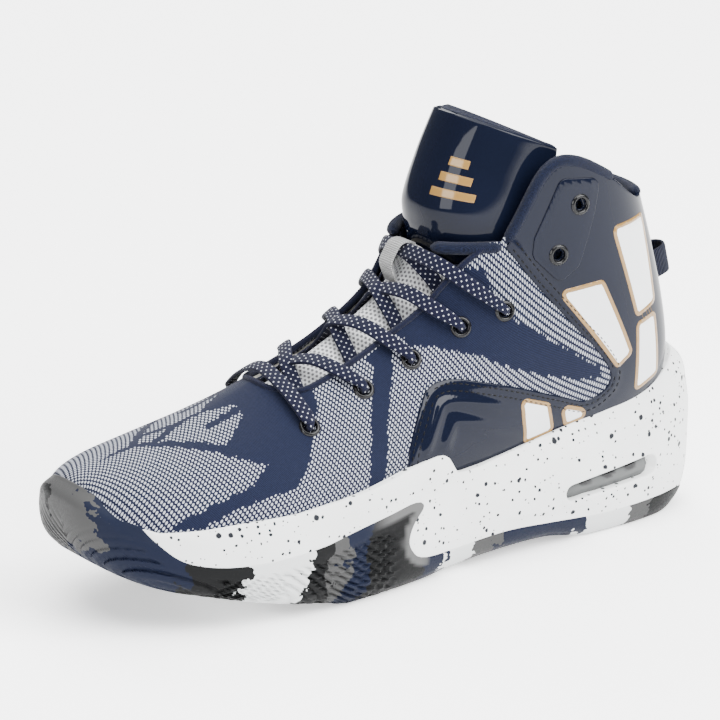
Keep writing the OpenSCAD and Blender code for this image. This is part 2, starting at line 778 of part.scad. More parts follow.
outsole();
midsole();
air_cushion();
strobel_board();
knit_upper();
patent_panel_lateral();
patent_panel_medial();
toe_puff();
eyestay_backing();
vamp_padding();
heel_counter();
collar_foam();
vamp_lining();
collar_lining();
collar_binding();
backstay();
ankle_patch_lateral();
ankle_patch_medial();
throat_binding();
motif_lateral();
motif_medial();
motif_outline_lateral();
motif_outline_medial();
lace_eyelets();
ankle_eyelets();
lace();
aglets();
tongue_mesh();
tongue_mesh_foam();
tongue_mesh_lining();
lace_loop();
tongue_shield();
shield_foam();
shield_lining();
shield_motif();
sockliner_foam();
sockliner_cover();
pull_tab();
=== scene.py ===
"""Looks of the basketball high top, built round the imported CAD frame.

+X runs to the toe, +Y to the outer side, +Z up. Lengths are in millimetres in the tables and
helpers below, and turn into metres where a mesh is made.
"""
import math

import bpy
import numpy as np
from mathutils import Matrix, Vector


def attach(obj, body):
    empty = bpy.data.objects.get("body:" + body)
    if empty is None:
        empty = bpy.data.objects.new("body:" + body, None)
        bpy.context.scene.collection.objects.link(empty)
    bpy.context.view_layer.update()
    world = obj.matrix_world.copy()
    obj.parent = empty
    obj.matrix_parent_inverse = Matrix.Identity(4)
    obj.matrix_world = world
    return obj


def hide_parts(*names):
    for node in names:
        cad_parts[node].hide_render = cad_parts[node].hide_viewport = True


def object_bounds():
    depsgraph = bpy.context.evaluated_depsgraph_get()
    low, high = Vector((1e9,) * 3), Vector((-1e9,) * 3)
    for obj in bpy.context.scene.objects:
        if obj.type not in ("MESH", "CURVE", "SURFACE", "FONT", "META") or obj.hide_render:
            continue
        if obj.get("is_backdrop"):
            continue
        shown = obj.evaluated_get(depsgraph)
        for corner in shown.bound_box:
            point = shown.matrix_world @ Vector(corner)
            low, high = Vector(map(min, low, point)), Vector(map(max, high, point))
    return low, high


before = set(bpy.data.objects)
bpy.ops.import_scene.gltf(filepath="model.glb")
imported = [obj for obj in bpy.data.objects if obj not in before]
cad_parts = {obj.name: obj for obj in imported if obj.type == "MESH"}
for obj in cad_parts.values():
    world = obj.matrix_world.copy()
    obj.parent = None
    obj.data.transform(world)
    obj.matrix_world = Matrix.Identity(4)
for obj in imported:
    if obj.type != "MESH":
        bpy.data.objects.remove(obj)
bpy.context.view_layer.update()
MM = 0.001

# ---------------------------------------------------------------- camera, lights and floor
SHIFT = -2.95                       # the shoe's middle plane in Y
AIM = Vector((0.0, SHIFT * MM, 0.060))
VIEW = (146.0, 18.0)                # turn from -Y and rise of the camera, in degrees
DISTANCE = 2.0
LENS = 237.5


def make_camera():
    turn, rise = (math.radians(v) for v in VIEW)
    back = Vector((math.sin(turn) * math.cos(rise), -math.cos(turn) * math.cos(rise), math.sin(rise)))
    data = bpy.data.cameras.new("camera")
    data.lens = LENS
    data.sensor_width = 36.0
    data.shift_x = -0.023
    data.shift_y = 0.078
    data.clip_end = 20.0
    camera = bpy.data.objects.new("camera", data)
    bpy.context.scene.collection.objects.link(camera)
    camera.location = AIM + back * DISTANCE
    camera.rotation_euler = (camera.location - AIM).to_track_quat("Z", "Y").to_euler()
    bpy.context.scene.camera = camera


def area_light(name, where, size, power, colour=(1, 1, 1), aim=(0, 0, 0.07)):
    data = bpy.data.lights.new(name, "AREA")
    data.shape = "RECTANGLE"
    data.size, data.size_y = size
    data.energy = power
    data.color = colour
    light = bpy.data.objects.new(name, data)
    bpy.context.scene.collection.objects.link(light)
    light.location = where
    light.rotation_euler = (Vector(where) - Vector(aim)).to_track_quat("Z", "Y").to_euler()


make_camera()
area_light("key", (-0.9, 1.5, 1.5), (1.9, 1.5), 160)
area_light("top", (0.0, 0.0, 3.2), (4.0, 4.0), 400)
area_light("fill_toe", (1.9, 1.0, 0.8), (1.0, 1.0), 35)
area_light("back", (-0.6, -1.8, 1.5), (1.6, 1.0), 60)
world = bpy.data.worlds.new("studio")
world.use_nodes = True
world.node_tree.nodes["Background"].inputs["Color"].default_value = (0.95, 0.97, 1.0, 1)
world.node_tree.nodes["Background"].inputs["Strength"].default_value = 0.45
bpy.context.scene.world = world

# ---------------------------------------------------------------- tables shared with the CAD part
LAST = np.array([
    [0.00, 150, 45, 151, 53, 7, 8, 1.2, 0.60, 0.90],
    [0.03, 147, 39, 148, 59, 19, 21, 1.3, 0.55, 0.95],
    [0.07, 141, 34, 142, 63, 29, 31, 1.4, 0.55, 1.00],
    [0.13, 127, 29, 129, 67, 39, 40, 1.5, 0.50, 1.05],
    [0.21, 106, 24, 108, 72, 46, 45, 1.6, 0.50, 1.10],
    [0.30, 80, 21, 83, 79, 51, 47, 1.8, 0.50, 1.20],
    [0.39, 52, 19, 60, 88, 50, 45, 1.9, 0.50, 1.35],
    [0.48, 24, 21, 38, 99, 47, 41, 1.9, 0.50, 1.40],
    [0.57, -6, 25, 17, 110, 43, 38, 1.7, 0.50, 1.35],
    [0.66, -40, 30, -2, 122, 40, 37, 1.4, 0.50, 1.20],
    [0.74, -82, 34, -12, 135, 39, 38, 1.1, 0.50, 1.00],
    [0.81, -122, 40, -17, 146, 40, 40, 1.0, 0.55, 0.90],
    [0.87, -139, 62, -21, 156, 41, 41, 1.0, 0.65, 0.85],
    [0.93, -137, 98, -26, 169, 41, 41, 1.0, 0.75, 0.85],
    [1.00, -119, 162, -38, 196, 39, 39, 1.0, 0.80, 0.85]])
OUTLINE = [[0, 40, 40], [30, 43, 43], [60, 42, 40], [85, 44, 36], [105, 54, 42], [125, 61, 55],
           [145, 58, 62], [165, 50, 58], [180, 44, 50]]
ROUNDNESS = 0.62
WALL = [[0, 7, -1, 3], [0.07, 3, -4, -1], [0.18, 0.8, -5.5, -3.5], [0.38, 0, -6, -4.7],
        [0.62, 0.6, -6, -4.2], [0.84, 2.2, -2.5, -3], [1, 4.4, 5, -1]]
UNDERSIDE = [[-160, 10], [-147, 4.5], [-137, 1.2], [-128, 0], [-88, 0], [-78, 1.5], [-62, 4],
             [-30, 3], [-8, 1], [5, 0], [45, 0], [61, 3.5], [72, 5.5], [93, 10], [110, 14],
             [125, 17.5], [135, 21], [143, 25], [160, 36]]
BLOCK_TOP = [[-160, 76], [-145, 70], [-133, 64.5], [-104, 57.5], [-62, 51.5], [-38, 50],
             [-12, 54.5], [2, 54.5], [26, 50.5], [50, 47], [94, 45.5], [120, 45.5], [136, 49],
             [148, 60], [160, 68]]
RIM = [[-162, 74], [-145, 68.5], [-133, 62.8], [-120, 58.4], [-104, 55.7], [-84, 52.8],
       [-62, 49.4], [-38, 45.6], [-26, 44.1], [-12, 43.7], [-9.5, 47], [-7, 52], [-3, 53.4],
       [13, 51.9], [26, 49.3], [38, 47], [50, 45.7], [73, 44.4], [94, 44.5], [113, 43.5],
       [130, 43.6], [140, 48], [147, 56], [152, 61], [162, 66]]
RUBBER = [[-170, 12], [-148, 7], [-136, 9.4], [-96, 9.4], [-63, 11.4], [-39, 12.8], [-13, 11.4],
          [2, 11.2], [11, 13], [16, 18], [17, 23], [14, 29], [8, 35], [13, 37], [25, 35.5],
          [39, 33.5], [51, 31.4], [63, 29.4], [86, 27.8], [106, 27.8], [121, 31], [130, 38],
          [137, 48], [143, 60], [150, 80]]
BOARD_EDGE = [[-170, 62], [-145, 54], [-120, 47], [-82, 41], [-40, 37], [-6, 32], [24, 28],
              [52, 26], [80, 27], [106, 30], [127, 35], [147, 45], [170, 58]]
FOOTBED = [[-170, 62], [-150, 56], [-118, 49], [-82, 44], [-40, 40], [-6, 35], [24, 31],
           [52, 29], [80, 31], [106, 34], [127, 39], [141, 45], [170, 62]]
KNIT_EDGE = [[-41, 137], [-44, 133], [-55, 118], [-74, 97], [-84, 87], [-93, 76], [-95.5, 70],
             [-93, 65], [-83, 61], [-68, 66], [-46, 74], [-30, 79], [-15, 83], [-6, 83], [0, 80],
             [4, 74], [8, 67], [12, 59], [14, 52], [17, 40], [17, 0]]
COLLAR_EDGE = [[-41, 137], [-44, 142.5], [-48, 149.5], [-55, 162], [-60, 168], [-66, 171],
               [-73, 170.5], [-82, 167], [-96, 159], [-106, 151.5], [-118, 147], [-160, 146]]
THROAT = [[-4, 0], [-3, 9], [1, 15], [8, 19], [28, 20], [50, 20.5], [74, 23], [93, 27], [112, 33]]
INSTEP = (58, 88, math.radians(34))
EYES = [[0.406, 138], [0.514, 137], [0.604, 133], [0.698, 126], [0.770, 115]]
ANKLE_EYES = [[0.894, 107], [0.952, 97]]
ANKLE_PATCH = [[-66, 162], [-85, 160], [-82, 146], [-74, 124], [-65, 118], [-53, 130], [-54, 138]]
BARS = [
    [[-94, 136], [-113, 137], [-119, 100], [-108, 97]],
    [[-109, 91], [-119, 93], [-124, 66], [-112, 62]],
    [[-67, 112.5], [-86, 114], [-104, 80], [-98, 76]],
    [[-48, 68], [-61, 63.5], [-65, 52], [-52, 50]],
    [[-71, 60.5], [-80, 57.5], [-83, 54.8], [-74, 53.2]]]
TONGUE = [[0.35, 30, -3.8], [0.38, 34, -5], [0.42, 38, -6.8], [0.50, 40, -6.8], [0.60, 42, -6.8],
          [0.66, 44, -6.8], [0.715, 46, -6.7], [0.745, 46, -5.4]]
SHIELD = [[0, -22.6, 126, 32], [0.14, -20.8, 134, 34], [0.28, -19.4, 142, 36], [0.44, -19.2, 151, 37],
          [0.72, -25.5, 169, 38], [0.9, -31, 181, 36], [1, -34.5, 188, 34]]
LOOP = [[0.744, -4.6], [0.741, -1], [0.728, 1.5], [0.70, 1.7], [0.684, 0.8], [0.674, -2.6],
        [0.668, -6.4]]
STRETCH = [[0, 1, 1.9, 0.23, 0.7, 0], [0, 1, -4.5, 0.23, 0.7, 0], [0.1, 0.82, -5.1, 0.46, 0.5, 0],
           [0.2, 0.6, -5.1, 0.5, 0.5, 0], [0.28, 0.3, -3.7, 0.5, 0.5, 0.5],
           [0.37, 0, -2.0, 0.48, 0.5, 1], [0.62, -0.42, 1.2, 0.5, 0.5, 0.6],
           [0.8, -0.72, 2.7, 0.5, 0.5, 0], [0.95, -0.91, 2.9, 0.38, 0.5, 0]]
TAIL = [[0.755, 112, -5], [0.74, 108, -5.2], [0.72, 105, -5.4], [0.70, 102, -5.4]]
BAR = [[0.91, 2.9], [0.6, 2.8], [0, 2.6], [-0.6, 2.8], [-0.91, 2.9]]
LACE_W, LACE_T = 6.4, 1.3
TAB = dict(root=(-136.4, 104), lean=13, half_w=8, t=1.6, h=13, l=15)
WINDOW = dict(at=(-96, 24.5), l=52, h=11, ends=[[-1, 1.5, 0.4], [1, -1.5, 0.32]])


# ---------------------------------------------------------------- curves and surfaces
def curve(tab, t):
    """Rows of a table read along its first column, as one smooth curve."""
    tab = np.asarray(tab, float)
    t = np.atleast_1d(np.asarray(t, float))
    key = tab[:, 0]
    run = np.maximum(np.arange(len(tab)) - 1, 0), np.minimum(np.arange(len(tab)) + 1, len(tab) - 1)
    slope = (tab[run[1]] - tab[run[0]]) / (key[run[1]] - key[run[0]])[:, None]
    i = np.clip(np.searchsorted(key, t, side="right") - 1, 0, len(key) - 2)
    h = (key[i + 1] - key[i])[:, None]
    u = (t[:, None] - key[i][:, None]) / h
    v, w = u * u, u * u * u
    return ((2 * w - 3 * v + 1) * tab[i] + (w - 2 * v + u) * h * slope[i]
            + (3 * v - 2 * w) * tab[i + 1] + (w - v) * h * slope[i + 1])


def fold(a):
    return (np.asarray(a) + 180.0) % 360.0 - 180.0


def bare(s, a):
    r, a = curve(LAST, s), fold(a)
    rad = np.radians(a)
    h = ((1 - np.cos(rad)) / 2) ** r[:, 7]
    p = r[:, 8] + (r[:, 9] - r[:, 8]) * np.abs(a) / 180
    w = np.sign(a) * np.where(a > 0, r[:, 5], r[:, 6]) * np.abs(np.sin(rad)) ** p
    return np.stack([r[:, 1] + (r[:, 3] - r[:, 1]) * h, w + SHIFT, r[:, 2] + (r[:, 4] - r[:, 2]) * h], 1)


def unit(v):
    return v / np.maximum(np.linalg.norm(v, axis=-1, keepdims=True), 1e-9)


def distances(p):
    """Length along a line of points, from the first to each of them."""
    return np.concatenate([[0], np.cumsum(np.linalg.norm(np.diff(p, axis=0), axis=1))])


def normal(s, a):
    s, a = np.atleast_1d(s), np.atleast_1d(a)
    along = bare(np.minimum(s + 0.002, 1), a) - bare(np.maximum(s - 0.002, 0), a)
    return unit(np.cross(along, bare(s, a + 1) - bare(s, a - 1)))


def skin(s, a, d):
    """Point at height d over the foot shape."""
    s, a, d = np.broadcast_arrays(*(np.atleast_1d(np.asarray(v, float)) for v in (s, a, d)))
    return bare(s, a) + d[:, None] * normal(s, a)


def swell(s, a):
    a = np.abs(fold(a))
    wave = np.sin(np.radians(180 * (s - 0.82) / 0.18)) ** 2 * np.cos(np.radians(0.9 * a))
    return np.where((s < 0.82) | (a > 100), 0, 4.5 * wave)


def smooth(x, low, high):
    t = np.clip((x - low) / (high - low), 0, 1)
    return t * t * (3 - 2 * t)


def rounded(points, per=10, closed=False, sharp=()):
    """Dense smooth line through the points, with corners kept at the sharp ones."""
    pts = np.asarray(points, float)
    n, out = len(pts), []
    for i in range(n if closed else n - 1):
        q = [pts[(i + k) % n] if closed else pts[min(max(i + k, 0), n - 1)] for k in (-1, 0, 1, 2)]
        m0 = (q[2] - q[0]) / 2 * (0 if i in sharp else 1)
        m1 = (q[3] - q[1]) / 2 * (0 if (i + 1) % n in sharp else 1)
        t = (np.arange(per) / per)[:, None]
        out.append((2 * t**3 - 3 * t**2 + 1) * q[1] + (t**3 - 2 * t**2 + t) * m0
                   + (3 * t**2 - 2 * t**3) * q[2] + (t**3 - t**2) * m1)
    return np.vstack(out + ([] if closed else [pts[-1:]]))


def inside(p, poly):
    """Signed distance to a closed line, positive inside it."""
    best = np.full(len(p), 1e9)
    odd = np.zeros(len(p), bool)
    for a, b in zip(poly, np.roll(poly, -1, 0)):
        ab = b - a
        if abs(ab).max() < 1e-9:
            continue
        t = np.clip(((p - a) @ ab) / (ab @ ab), 0, 1)
        best = np.minimum(best, ((p - a - t[:, None] * ab) ** 2).sum(1))
        cross = (a[1] > p[:, 1]) != (b[1] > p[:, 1])
        if a[1] != b[1]:
            odd ^= cross & (p[:, 0] < ab[0] * (p[:, 1] - a[1]) / ab[1] + a[0])
    return np.where(odd, 1, -1) * np.sqrt(best)


def near(p, line):
    """Distance to an open line."""
    best = np.full(len(p), 1e9)
    for a, b in zip(line[:-1], line[1:]):
        t = np.clip(((p - a) @ (b - a)) / max((b - a) @ (b - a), 1e-9), 0, 1)
        best = np.minimum(best, ((p - a - t[:, None] * (b - a)) ** 2).sum(1))
    return np.sqrt(best)


def offset_poly(poly, by):
    """Straight-edged outline moved out by a distance."""
    p = np.asarray(poly, float)
    if ((p[:, 0] * np.roll(p[:, 1], -1)) - (np.roll(p[:, 0], -1) * p[:, 1])).sum() < 0:
        p = p[::-1]
    e = unit(np.roll(p, -1, 0) - p)
    n = np.stack([e[:, 1], -e[:, 0]], 1)
    m = np.roll(n, 1, 0) + n
    return p + by * m * (2 / (m * m).sum(1))[:, None]


# ---------------------------------------------------------------- triangle sheets on a surface
class Sheet:
    """Triangles in the plane of a surface's two coordinates, with values kept per corner."""

    def __init__(self, uv, tri):
        self.uv, self.tri = uv, tri

    @staticmethod
    def grid(us, vs):
        u, v = np.meshgrid(us, vs, indexing="ij")
        k = np.arange(len(us) * len(vs)).reshape(len(us), len(vs))
        a, b, c, d = k[:-1, :-1].ravel(), k[1:, :-1].ravel(), k[1:, 1:].ravel(), k[:-1, 1:].ravel()
        return Sheet(np.stack([u.ravel(), v.ravel()], 1),
                     np.vstack([np.stack([a, b, c], 1), np.stack([a, c, d], 1)]))

    def clip(self, field, snap=0.22):
        """Keeps the part where field(u, v) is positive."""
        uv, tri = self.uv.copy(), self.tri
        f = field(uv[:, 0], uv[:, 1])
        f = np.where(np.abs(f) < 1e-7, 1e-7, f)
        e = np.unique(np.sort(np.vstack([tri[:, [0, 1]], tri[:, [1, 2]], tri[:, [2, 0]]]), 1), axis=0)
        e = e[(f[e[:, 0]] > 0) != (f[e[:, 1]] > 0)]
        for a, b in (e.T, e.T[::-1]):
            t = f[a] / (f[a] - f[b])
            pick = t < snap
            uv[a[pick]] = uv[a[pick]] + (self.uv[b[pick]] - self.uv[a[pick]]) * t[pick][:, None]
            f[a[pick]] = 1e-7
        pos = f > 0
        count = pos[tri].sum(1)
        kept = [tri[count == 3]]
        m = tri[(count == 1) | (count == 2)]
        one = pos[m].sum(1) == 1
        odd = np.where(one, pos[m].argmax(1), (~pos[m]).argmax(1))
        m = np.take_along_axis(m, (odd[:, None] + np.arange(3)) % 3, 1)
        both = np.vstack([np.sort(m[:, [0, 1]], 1), np.sort(m[:, [0, 2]], 1)])
        if len(m):
            edges, back = np.unique(both, axis=0, return_inverse=True)
            back = back.ravel()
            a, b = edges.T
            t = f[a] / (f[a] - f[b])
            new = uv[a] + (uv[b] - uv[a]) * t[:, None]
            i1, i2 = len(uv) + back[:len(m)], len(uv) + back[len(m):]
            kept += [np.stack([m[one, 0], i1[one], i2[one]], 1),
                     np.stack([i1[~one], m[~one, 1], m[~one, 2]], 1),
                     np.stack([i1[~one], m[~one, 2], i2[~one]], 1)]
            uv = np.vstack([uv, new])
        tri = np.vstack(kept)
        _, first, back = np.unique(np.round(uv, 7), axis=0, return_index=True, return_inverse=True)
        tri, uv = back.ravel()[tri], uv[first]
        tri = tri[(tri[:, 0] != tri[:, 1]) & (tri[:, 1] != tri[:, 2]) & (tri[:, 0] != tri[:, 2])]
        used, tri = np.unique(tri, return_inverse=True)
        return Sheet(uv[used], tri.reshape(-1, 3))

    def loops(self):
        """Border lines, each a list of corner numbers with the sheet on its left."""
        e = np.vstack([self.tri[:, [0, 1]], self.tri[:, [1, 2]], self.tri[:, [2, 0]]])
        key = e[:, 0] * len(self.uv) + e[:, 1]
        back = e[:, 1] * len(self.uv) + e[:, 0]
        e = e[~np.isin(key, back)]
        after = {}
        for a, b in e:
            after.setdefault(int(a), []).append(int(b))
        out = []
        while after:
            start = next(iter(after))
            line, at = [start], after[start].pop()
            if not after[start]:
                del after[start]
            while at != start and at in after:
                line.append(at)
                nxt = after[at].pop()
                if not after[at]:
                    del after[at]
                at = nxt
            if len(line) > 5:
                out.append(np.array(line))
        return out


def tangents(p, closed=True, reach=2):
    if closed:
        return unit(np.roll(p, -reach, 0) - np.roll(p, reach, 0))
    i = np.arange(len(p))
    return unit(p[np.minimum(i + reach, len(p) - 1)] - p[np.maximum(i - reach, 0)])


def make_object(name, verts, faces, material, attrs=None, smooth_angle=50):
    """A mesh object from points in millimetres, and triangles or quads."""
    mesh = bpy.data.meshes.new(name)
    groups = faces if isinstance(faces, list) else [faces]
    groups = [np.asarray(g, np.int32) for g in groups if len(g)]
    total = sum(g.shape[0] for g in groups)
    starts, at = [], 0
    for g in groups:
        starts.append(at + np.arange(g.shape[0]) * g.shape[1])
        at += g.size
    mesh.vertices.add(len(verts))
    mesh.vertices.foreach_set("co", (np.asarray(verts, float) * MM).ravel())
    mesh.loops.add(at)
    mesh.loops.foreach_set("vertex_index", np.concatenate([g.ravel() for g in groups]))
    mesh.polygons.add(total)
    mesh.polygons.foreach_set("loop_start", np.concatenate(starts))
    mesh.polygons.foreach_set("use_smooth", np.ones(total, bool))
    for key, value in (attrs or {}).items():
        value = np.asarray(value, np.float32)
        if value.ndim == 2:
            mesh.attributes.new(key, "FLOAT_VECTOR", "POINT").data.foreach_set("vector", value.ravel())
        else:
            mesh.attributes.new(key, "FLOAT", "POINT").data.foreach_set("value", value)
    mesh.update(calc_edges=True)
    mesh.validate()
    mesh.set_sharp_from_angle(angle=math.radians(smooth_angle))
    mesh.materials.append(material)
    piece = bpy.data.objects.new(name, mesh)
    bpy.context.scene.collection.objects.link(piece)
    return piece


def place(piece, body, slot, *nodes):
    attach(piece, body)
    if nodes:
        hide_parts(*nodes)
    return piece


def shell(sheet, top, bottom, edge_r=0.7, rings=3, surf=skin, norm=normal, attrs=None):
    """Closed solid over a sheet: outer face at top(u, v), inner face at bottom(u, v), rolled edge."""
    u, v = sheet.uv.T
    p, n, q = surf(u, v, top(u, v)), norm(u, v), surf(u, v, bottom(u, v))
    verts, count = [p, q], len(u)
    tris, quads = [sheet.tri, sheet.tri[:, ::-1] + count], []
    source = [np.arange(count), np.arange(count)]
    at = 2 * count
    for line in sheet.loops():
        side = unit(np.cross(tangents(p[line]), n[line]))
        ring = [line]
        for k in range(1, rings + 1):
            t = math.pi / 2 * k / rings
            verts.append(p[line] + side * edge_r * math.sin(t) - n[line] * edge_r * (1 - math.cos(t)))
            ring.append(at + np.arange(len(line)))
            source.append(line)
            at += len(line)
        verts.append(q[line] + side * edge_r)
        ring.append(at + np.arange(len(line)))
        source.append(line)
        at += len(line)
        ring.append(line + count)
        for a, b in zip(ring[:-1], ring[1:]):
            quads.append(np.stack([np.roll(a, -1), a, b, np.roll(b, -1)], 1))
    source = np.concatenate(source)
    extra = {k: np.asarray(w)[source] for k, w in (attrs or {}).items()}
    return np.vstack(verts), [np.vstack(tris)] + ([np.vstack(quads)] if quads else []), extra


def merge(parts):
    """Several (points, [face groups], values) as one."""
    verts, tris, quads, attrs, at = [], [], [], {}, 0
    for p, faces, extra in parts:
        verts.append(p)
        for g in faces:
            (tris if g.shape[1] == 3 else quads).append(g + at)
        for k, w in extra.items():
            attrs.setdefault(k, []).append(w)
        at += len(p)
    groups = ([np.vstack(tris)] if tris else []) + ([np.vstack(quads)] if quads else [])
    return np.vstack(verts), groups, {k: np.concatenate(w) for k, w in attrs.items()}


def contours(sheet, field, tol=0.02):
    """Lines on the sheet's plane where field is 0, as arrays of (u, v)."""
    part = sheet.clip(field, snap=0.0)
    out = []
    for line in part.loops():
        uv = part.uv[line]
        on = np.abs(field(uv[:, 0], uv[:, 1])) < tol
        if on.all():
            out.append(np.vstack([uv, uv[:1]]))
            continue
        start = int(np.argmin(on))
        on, uv = np.roll(on, -start), np.roll(uv, -start, 0)
        run = []
        for flag, point in zip(on, uv):
            if flag:
                run.append(point)
            elif run:
                out.append(np.array(run))
                run = []
        if run:
            out.append(np.array(run))
    return [c for c in out if len(c) > 6]


def tube(path, wide, thick, section, closed=False, caps=True):
    """Points and quads of a section swept on a path. wide and thick are the section's unit axes."""
    n, m = len(path), len(section)
    verts = (path[:, None] + section[None, :, 0:1] * wide[:, None] + section[None, :, 1:2] * thick[:, None])
    verts = verts.reshape(-1, 3)
    rows = n if closed else n - 1
    i, j = np.meshgrid(np.arange(rows), np.arange(m), indexing="ij")
    a, b = i * m + j, i * m + (j + 1) % m
    c, d = ((i + 1) % n) * m + (j + 1) % m, ((i + 1) % n) * m + j
    quads = np.stack([a.ravel(), b.ravel(), c.ravel(), d.ravel()], 1)
    groups = [quads]
    if caps and not closed:
        k = np.arange(1, m - 1)
        first = np.stack([np.zeros_like(k), k + 1, k], 1)
        last = (n - 1) * m + np.stack([np.zeros_like(k), k, k + 1], 1)
        groups = [np.vstack([first, last]), quads]
    return verts, groups


def ellipse(rx, ry, m=12, power=1.0):
    t = np.linspace(0, 2 * math.pi, m, endpoint=False)
    return np.stack([rx * np.sign(np.cos(t)) * np.abs(np.cos(t)) ** power,
                     ry * np.sign(np.sin(t)) * np.abs(np.sin(t)) ** power], 1)


# ---------------------------------------------------------------- materials
class Shader:
    """A node material: maths on sockets, with the result fed to one Principled shader."""

    def __init__(self, name, colour=(0.5, 0.5, 0.5), rough=0.5, **sockets):
        self.mat = bpy.data.materials.new(name)
        self.mat.use_nodes = True
        self.tree = self.mat.node_tree
        self.bsdf = self.tree.nodes["Principled BSDF"]
        self.bsdf.inputs["Base Color"].default_value = (*colour, 1)
        self.bsdf.inputs["Roughness"].default_value = rough
        self.bsdf.inputs["Specular IOR Level"].default_value = 0.07
        for key, value in sockets.items():
            self.bsdf.inputs[key.replace("_", " ")].default_value = value

    def put(self, socket, value):
        if isinstance(value, bpy.types.NodeSocket):
            self.tree.links.new(value, socket)
        elif socket.type == "RGBA" and len(value) == 3:
            socket.default_value = (*value, 1)
        else:
            socket.default_value = value

    def node(self, kind, ins=None, **props):
        node = self.tree.nodes.new(kind)
        for key, value in props.items():
            setattr(node, key, value)
        for key, value in (ins or {}).items():
            self.put(node.inputs[key], value)
        return node

    def math(self, op, a, b=0.0, clamp=False):
        return self.node("ShaderNodeMath", {0: a, 1: b}, operation=op, use_clamp=clamp).outputs[0]

    def attr(self, name, out="Fac"):
        return self.node("ShaderNodeAttribute", attribute_name=name).outputs[out]

    def place(self):
        return self.node("ShaderNodeTexCoord").outputs["Object"]

    def axes(self, vector):
        return self.node("ShaderNodeSeparateXYZ", {0: vector}).outputs

    def vector(self, x, y, z=0.0):
        return self.node("ShaderNodeCombineXYZ", {0: x, 1: y, 2: z}).outputs[0]

    def noise(self, scale, detail=2.0, where=None, rough=0.5):
        return self.node("ShaderNodeTexNoise", {"Vector": where or self.place(), "Scale": scale,
                                                "Detail": detail, "Roughness": rough}).outputs["Fac"]

    def range(self, value, low, high, out_low=0.0, out_high=1.0, kind="SMOOTHSTEP"):
        node = self.node("ShaderNodeMapRange", {"Value": value, "From Min": low, "From Max": high,
                                                "To Min": out_low, "To Max": out_high})
        node.interpolation_type = kind
        return node.outputs["Result"]

    def mix(self, fac, a, b):
        node = self.tree.nodes.new("ShaderNodeMix")
        node.data_type = "RGBA"
        self.put(node.inputs[0], fac)
        self.put(node.inputs[6], a)
        self.put(node.inputs[7], b)
        return node.outputs[2]

    def ramp(self, fac, *stops):
        node = self.node("ShaderNodeValToRGB", {"Fac": fac})
        ramp = node.color_ramp
        while len(ramp.elements) < len(stops):
            ramp.elements.new(0.5)
        for element, (at, colour) in zip(ramp.elements, stops):
            element.position = at
            element.color = (*colour, 1)
        return node.outputs["Color"]

    def finish(self, colour=None, rough=None, height=None, depth=0.0002, strength=1.0):
        if colour is not None:
            self.put(self.bsdf.inputs["Base Color"], colour)
        if rough is not None:
            self.put(self.bsdf.inputs["Roughness"], rough)
        if height is not None:
            bump = self.node("ShaderNodeBump", {"Height": height, "Strength": strength,
                                                "Distance": depth})
            self.put(self.bsdf.inputs["Normal"], bump.outputs["Normal"])
        return self.mat

    def cell_dots(self, u, v, pitch_u, pitch_v):
        """Staggered dots: (distance from the dot's centre, random value of its cell)."""
        gv = self.math("DIVIDE", v, pitch_v)
        row = self.math("FLOOR", gv)
        gu = self.math("ADD", self.math("DIVIDE", u, pitch_u), self.math("MULTIPLY", row, 0.5))
        fu = self.math("MULTIPLY", self.math("SUBTRACT", self.math("FRACT", gu), 0.5), pitch_u)
        fv = self.math("MULTIPLY", self.math("SUBTRACT", self.math("FRACT", gv), 0.5), pitch_v)
        far = self.math("SQRT", self.math("ADD", self.math("MULTIPLY", fu, fu),
                                          self.math("MULTIPLY", fv, fv)))
        cell = self.vector(self.math("FLOOR", gu), row)
        rand = self.node("ShaderNodeTexWhiteNoise", {"Vector": cell}, noise_dimensions="2D").outputs["Value"]
        return far, rand


NAVY = (0.016, 0.030, 0.105)


def knit_material():
    m = Shader("knit", NAVY, 0.78, Sheen_Weight=0.04, Sheen_Roughness=0.5)
    u, v, _ = m.axes(m.attr("weave", "Vector"))
    far, rand = m.cell_dots(u, v, 2.0, 1.42)
    zone = m.math("ADD", m.attr("zone"), m.math("MULTIPLY", m.math("SUBTRACT", rand, 0.5), 1.1))
    size = m.range(zone, -0.9, 0.35, 0.56, -0.3)
    dot = m.math("SUBTRACT", 1.0, m.range(m.math("SUBTRACT", far, size), -0.10, 0.12), clamp=True)
    fine = m.math("MULTIPLY", m.math("SINE", m.math("MULTIPLY", u, 8.4)),
                  m.math("SINE", m.math("MULTIPLY", v, 7.0)))
    grain = m.noise(900, 3)
    base = m.mix(m.range(m.math("ADD", fine, m.math("MULTIPLY", grain, 0.8)), -0.8, 1.4),
                 (0.0014, 0.0021, 0.0065), (0.0062, 0.0092, 0.026))
    thread = m.mix(grain, (0.20, 0.21, 0.24), (0.40, 0.415, 0.46))
    colour = m.mix(dot, base, thread)
    height = m.math("ADD", m.math("MULTIPLY", dot, 0.9), m.math("MULTIPLY", fine, 0.16))
    height = m.math("ADD", height, m.math("MULTIPLY", grain, 0.25))
    return m.finish(colour, m.range(dot, 0, 1, 0.82, 0.66), height, 0.0004, 0.8)


def patent_material(name, base, shine=0.05):
    m = Shader(name, base, 0.22, Coat_Weight=0.55, Coat_Roughness=shine, Coat_IOR=1.32,
               Specular_IOR_Level=0.0)
    cloud = m.noise(22, 3)
    grain = m.noise(1400, 2)
    colour = m.mix(cloud, tuple(c * 0.75 for c in base), tuple(c * 1.3 for c in base))
    height = m.math("ADD", m.math("MULTIPLY", cloud, 1.0), m.math("MULTIPLY", grain, 0.03))
    return m.finish(colour, m.range(grain, 0.3, 0.7, 0.2, 0.32), height, 0.0012, 0.16)


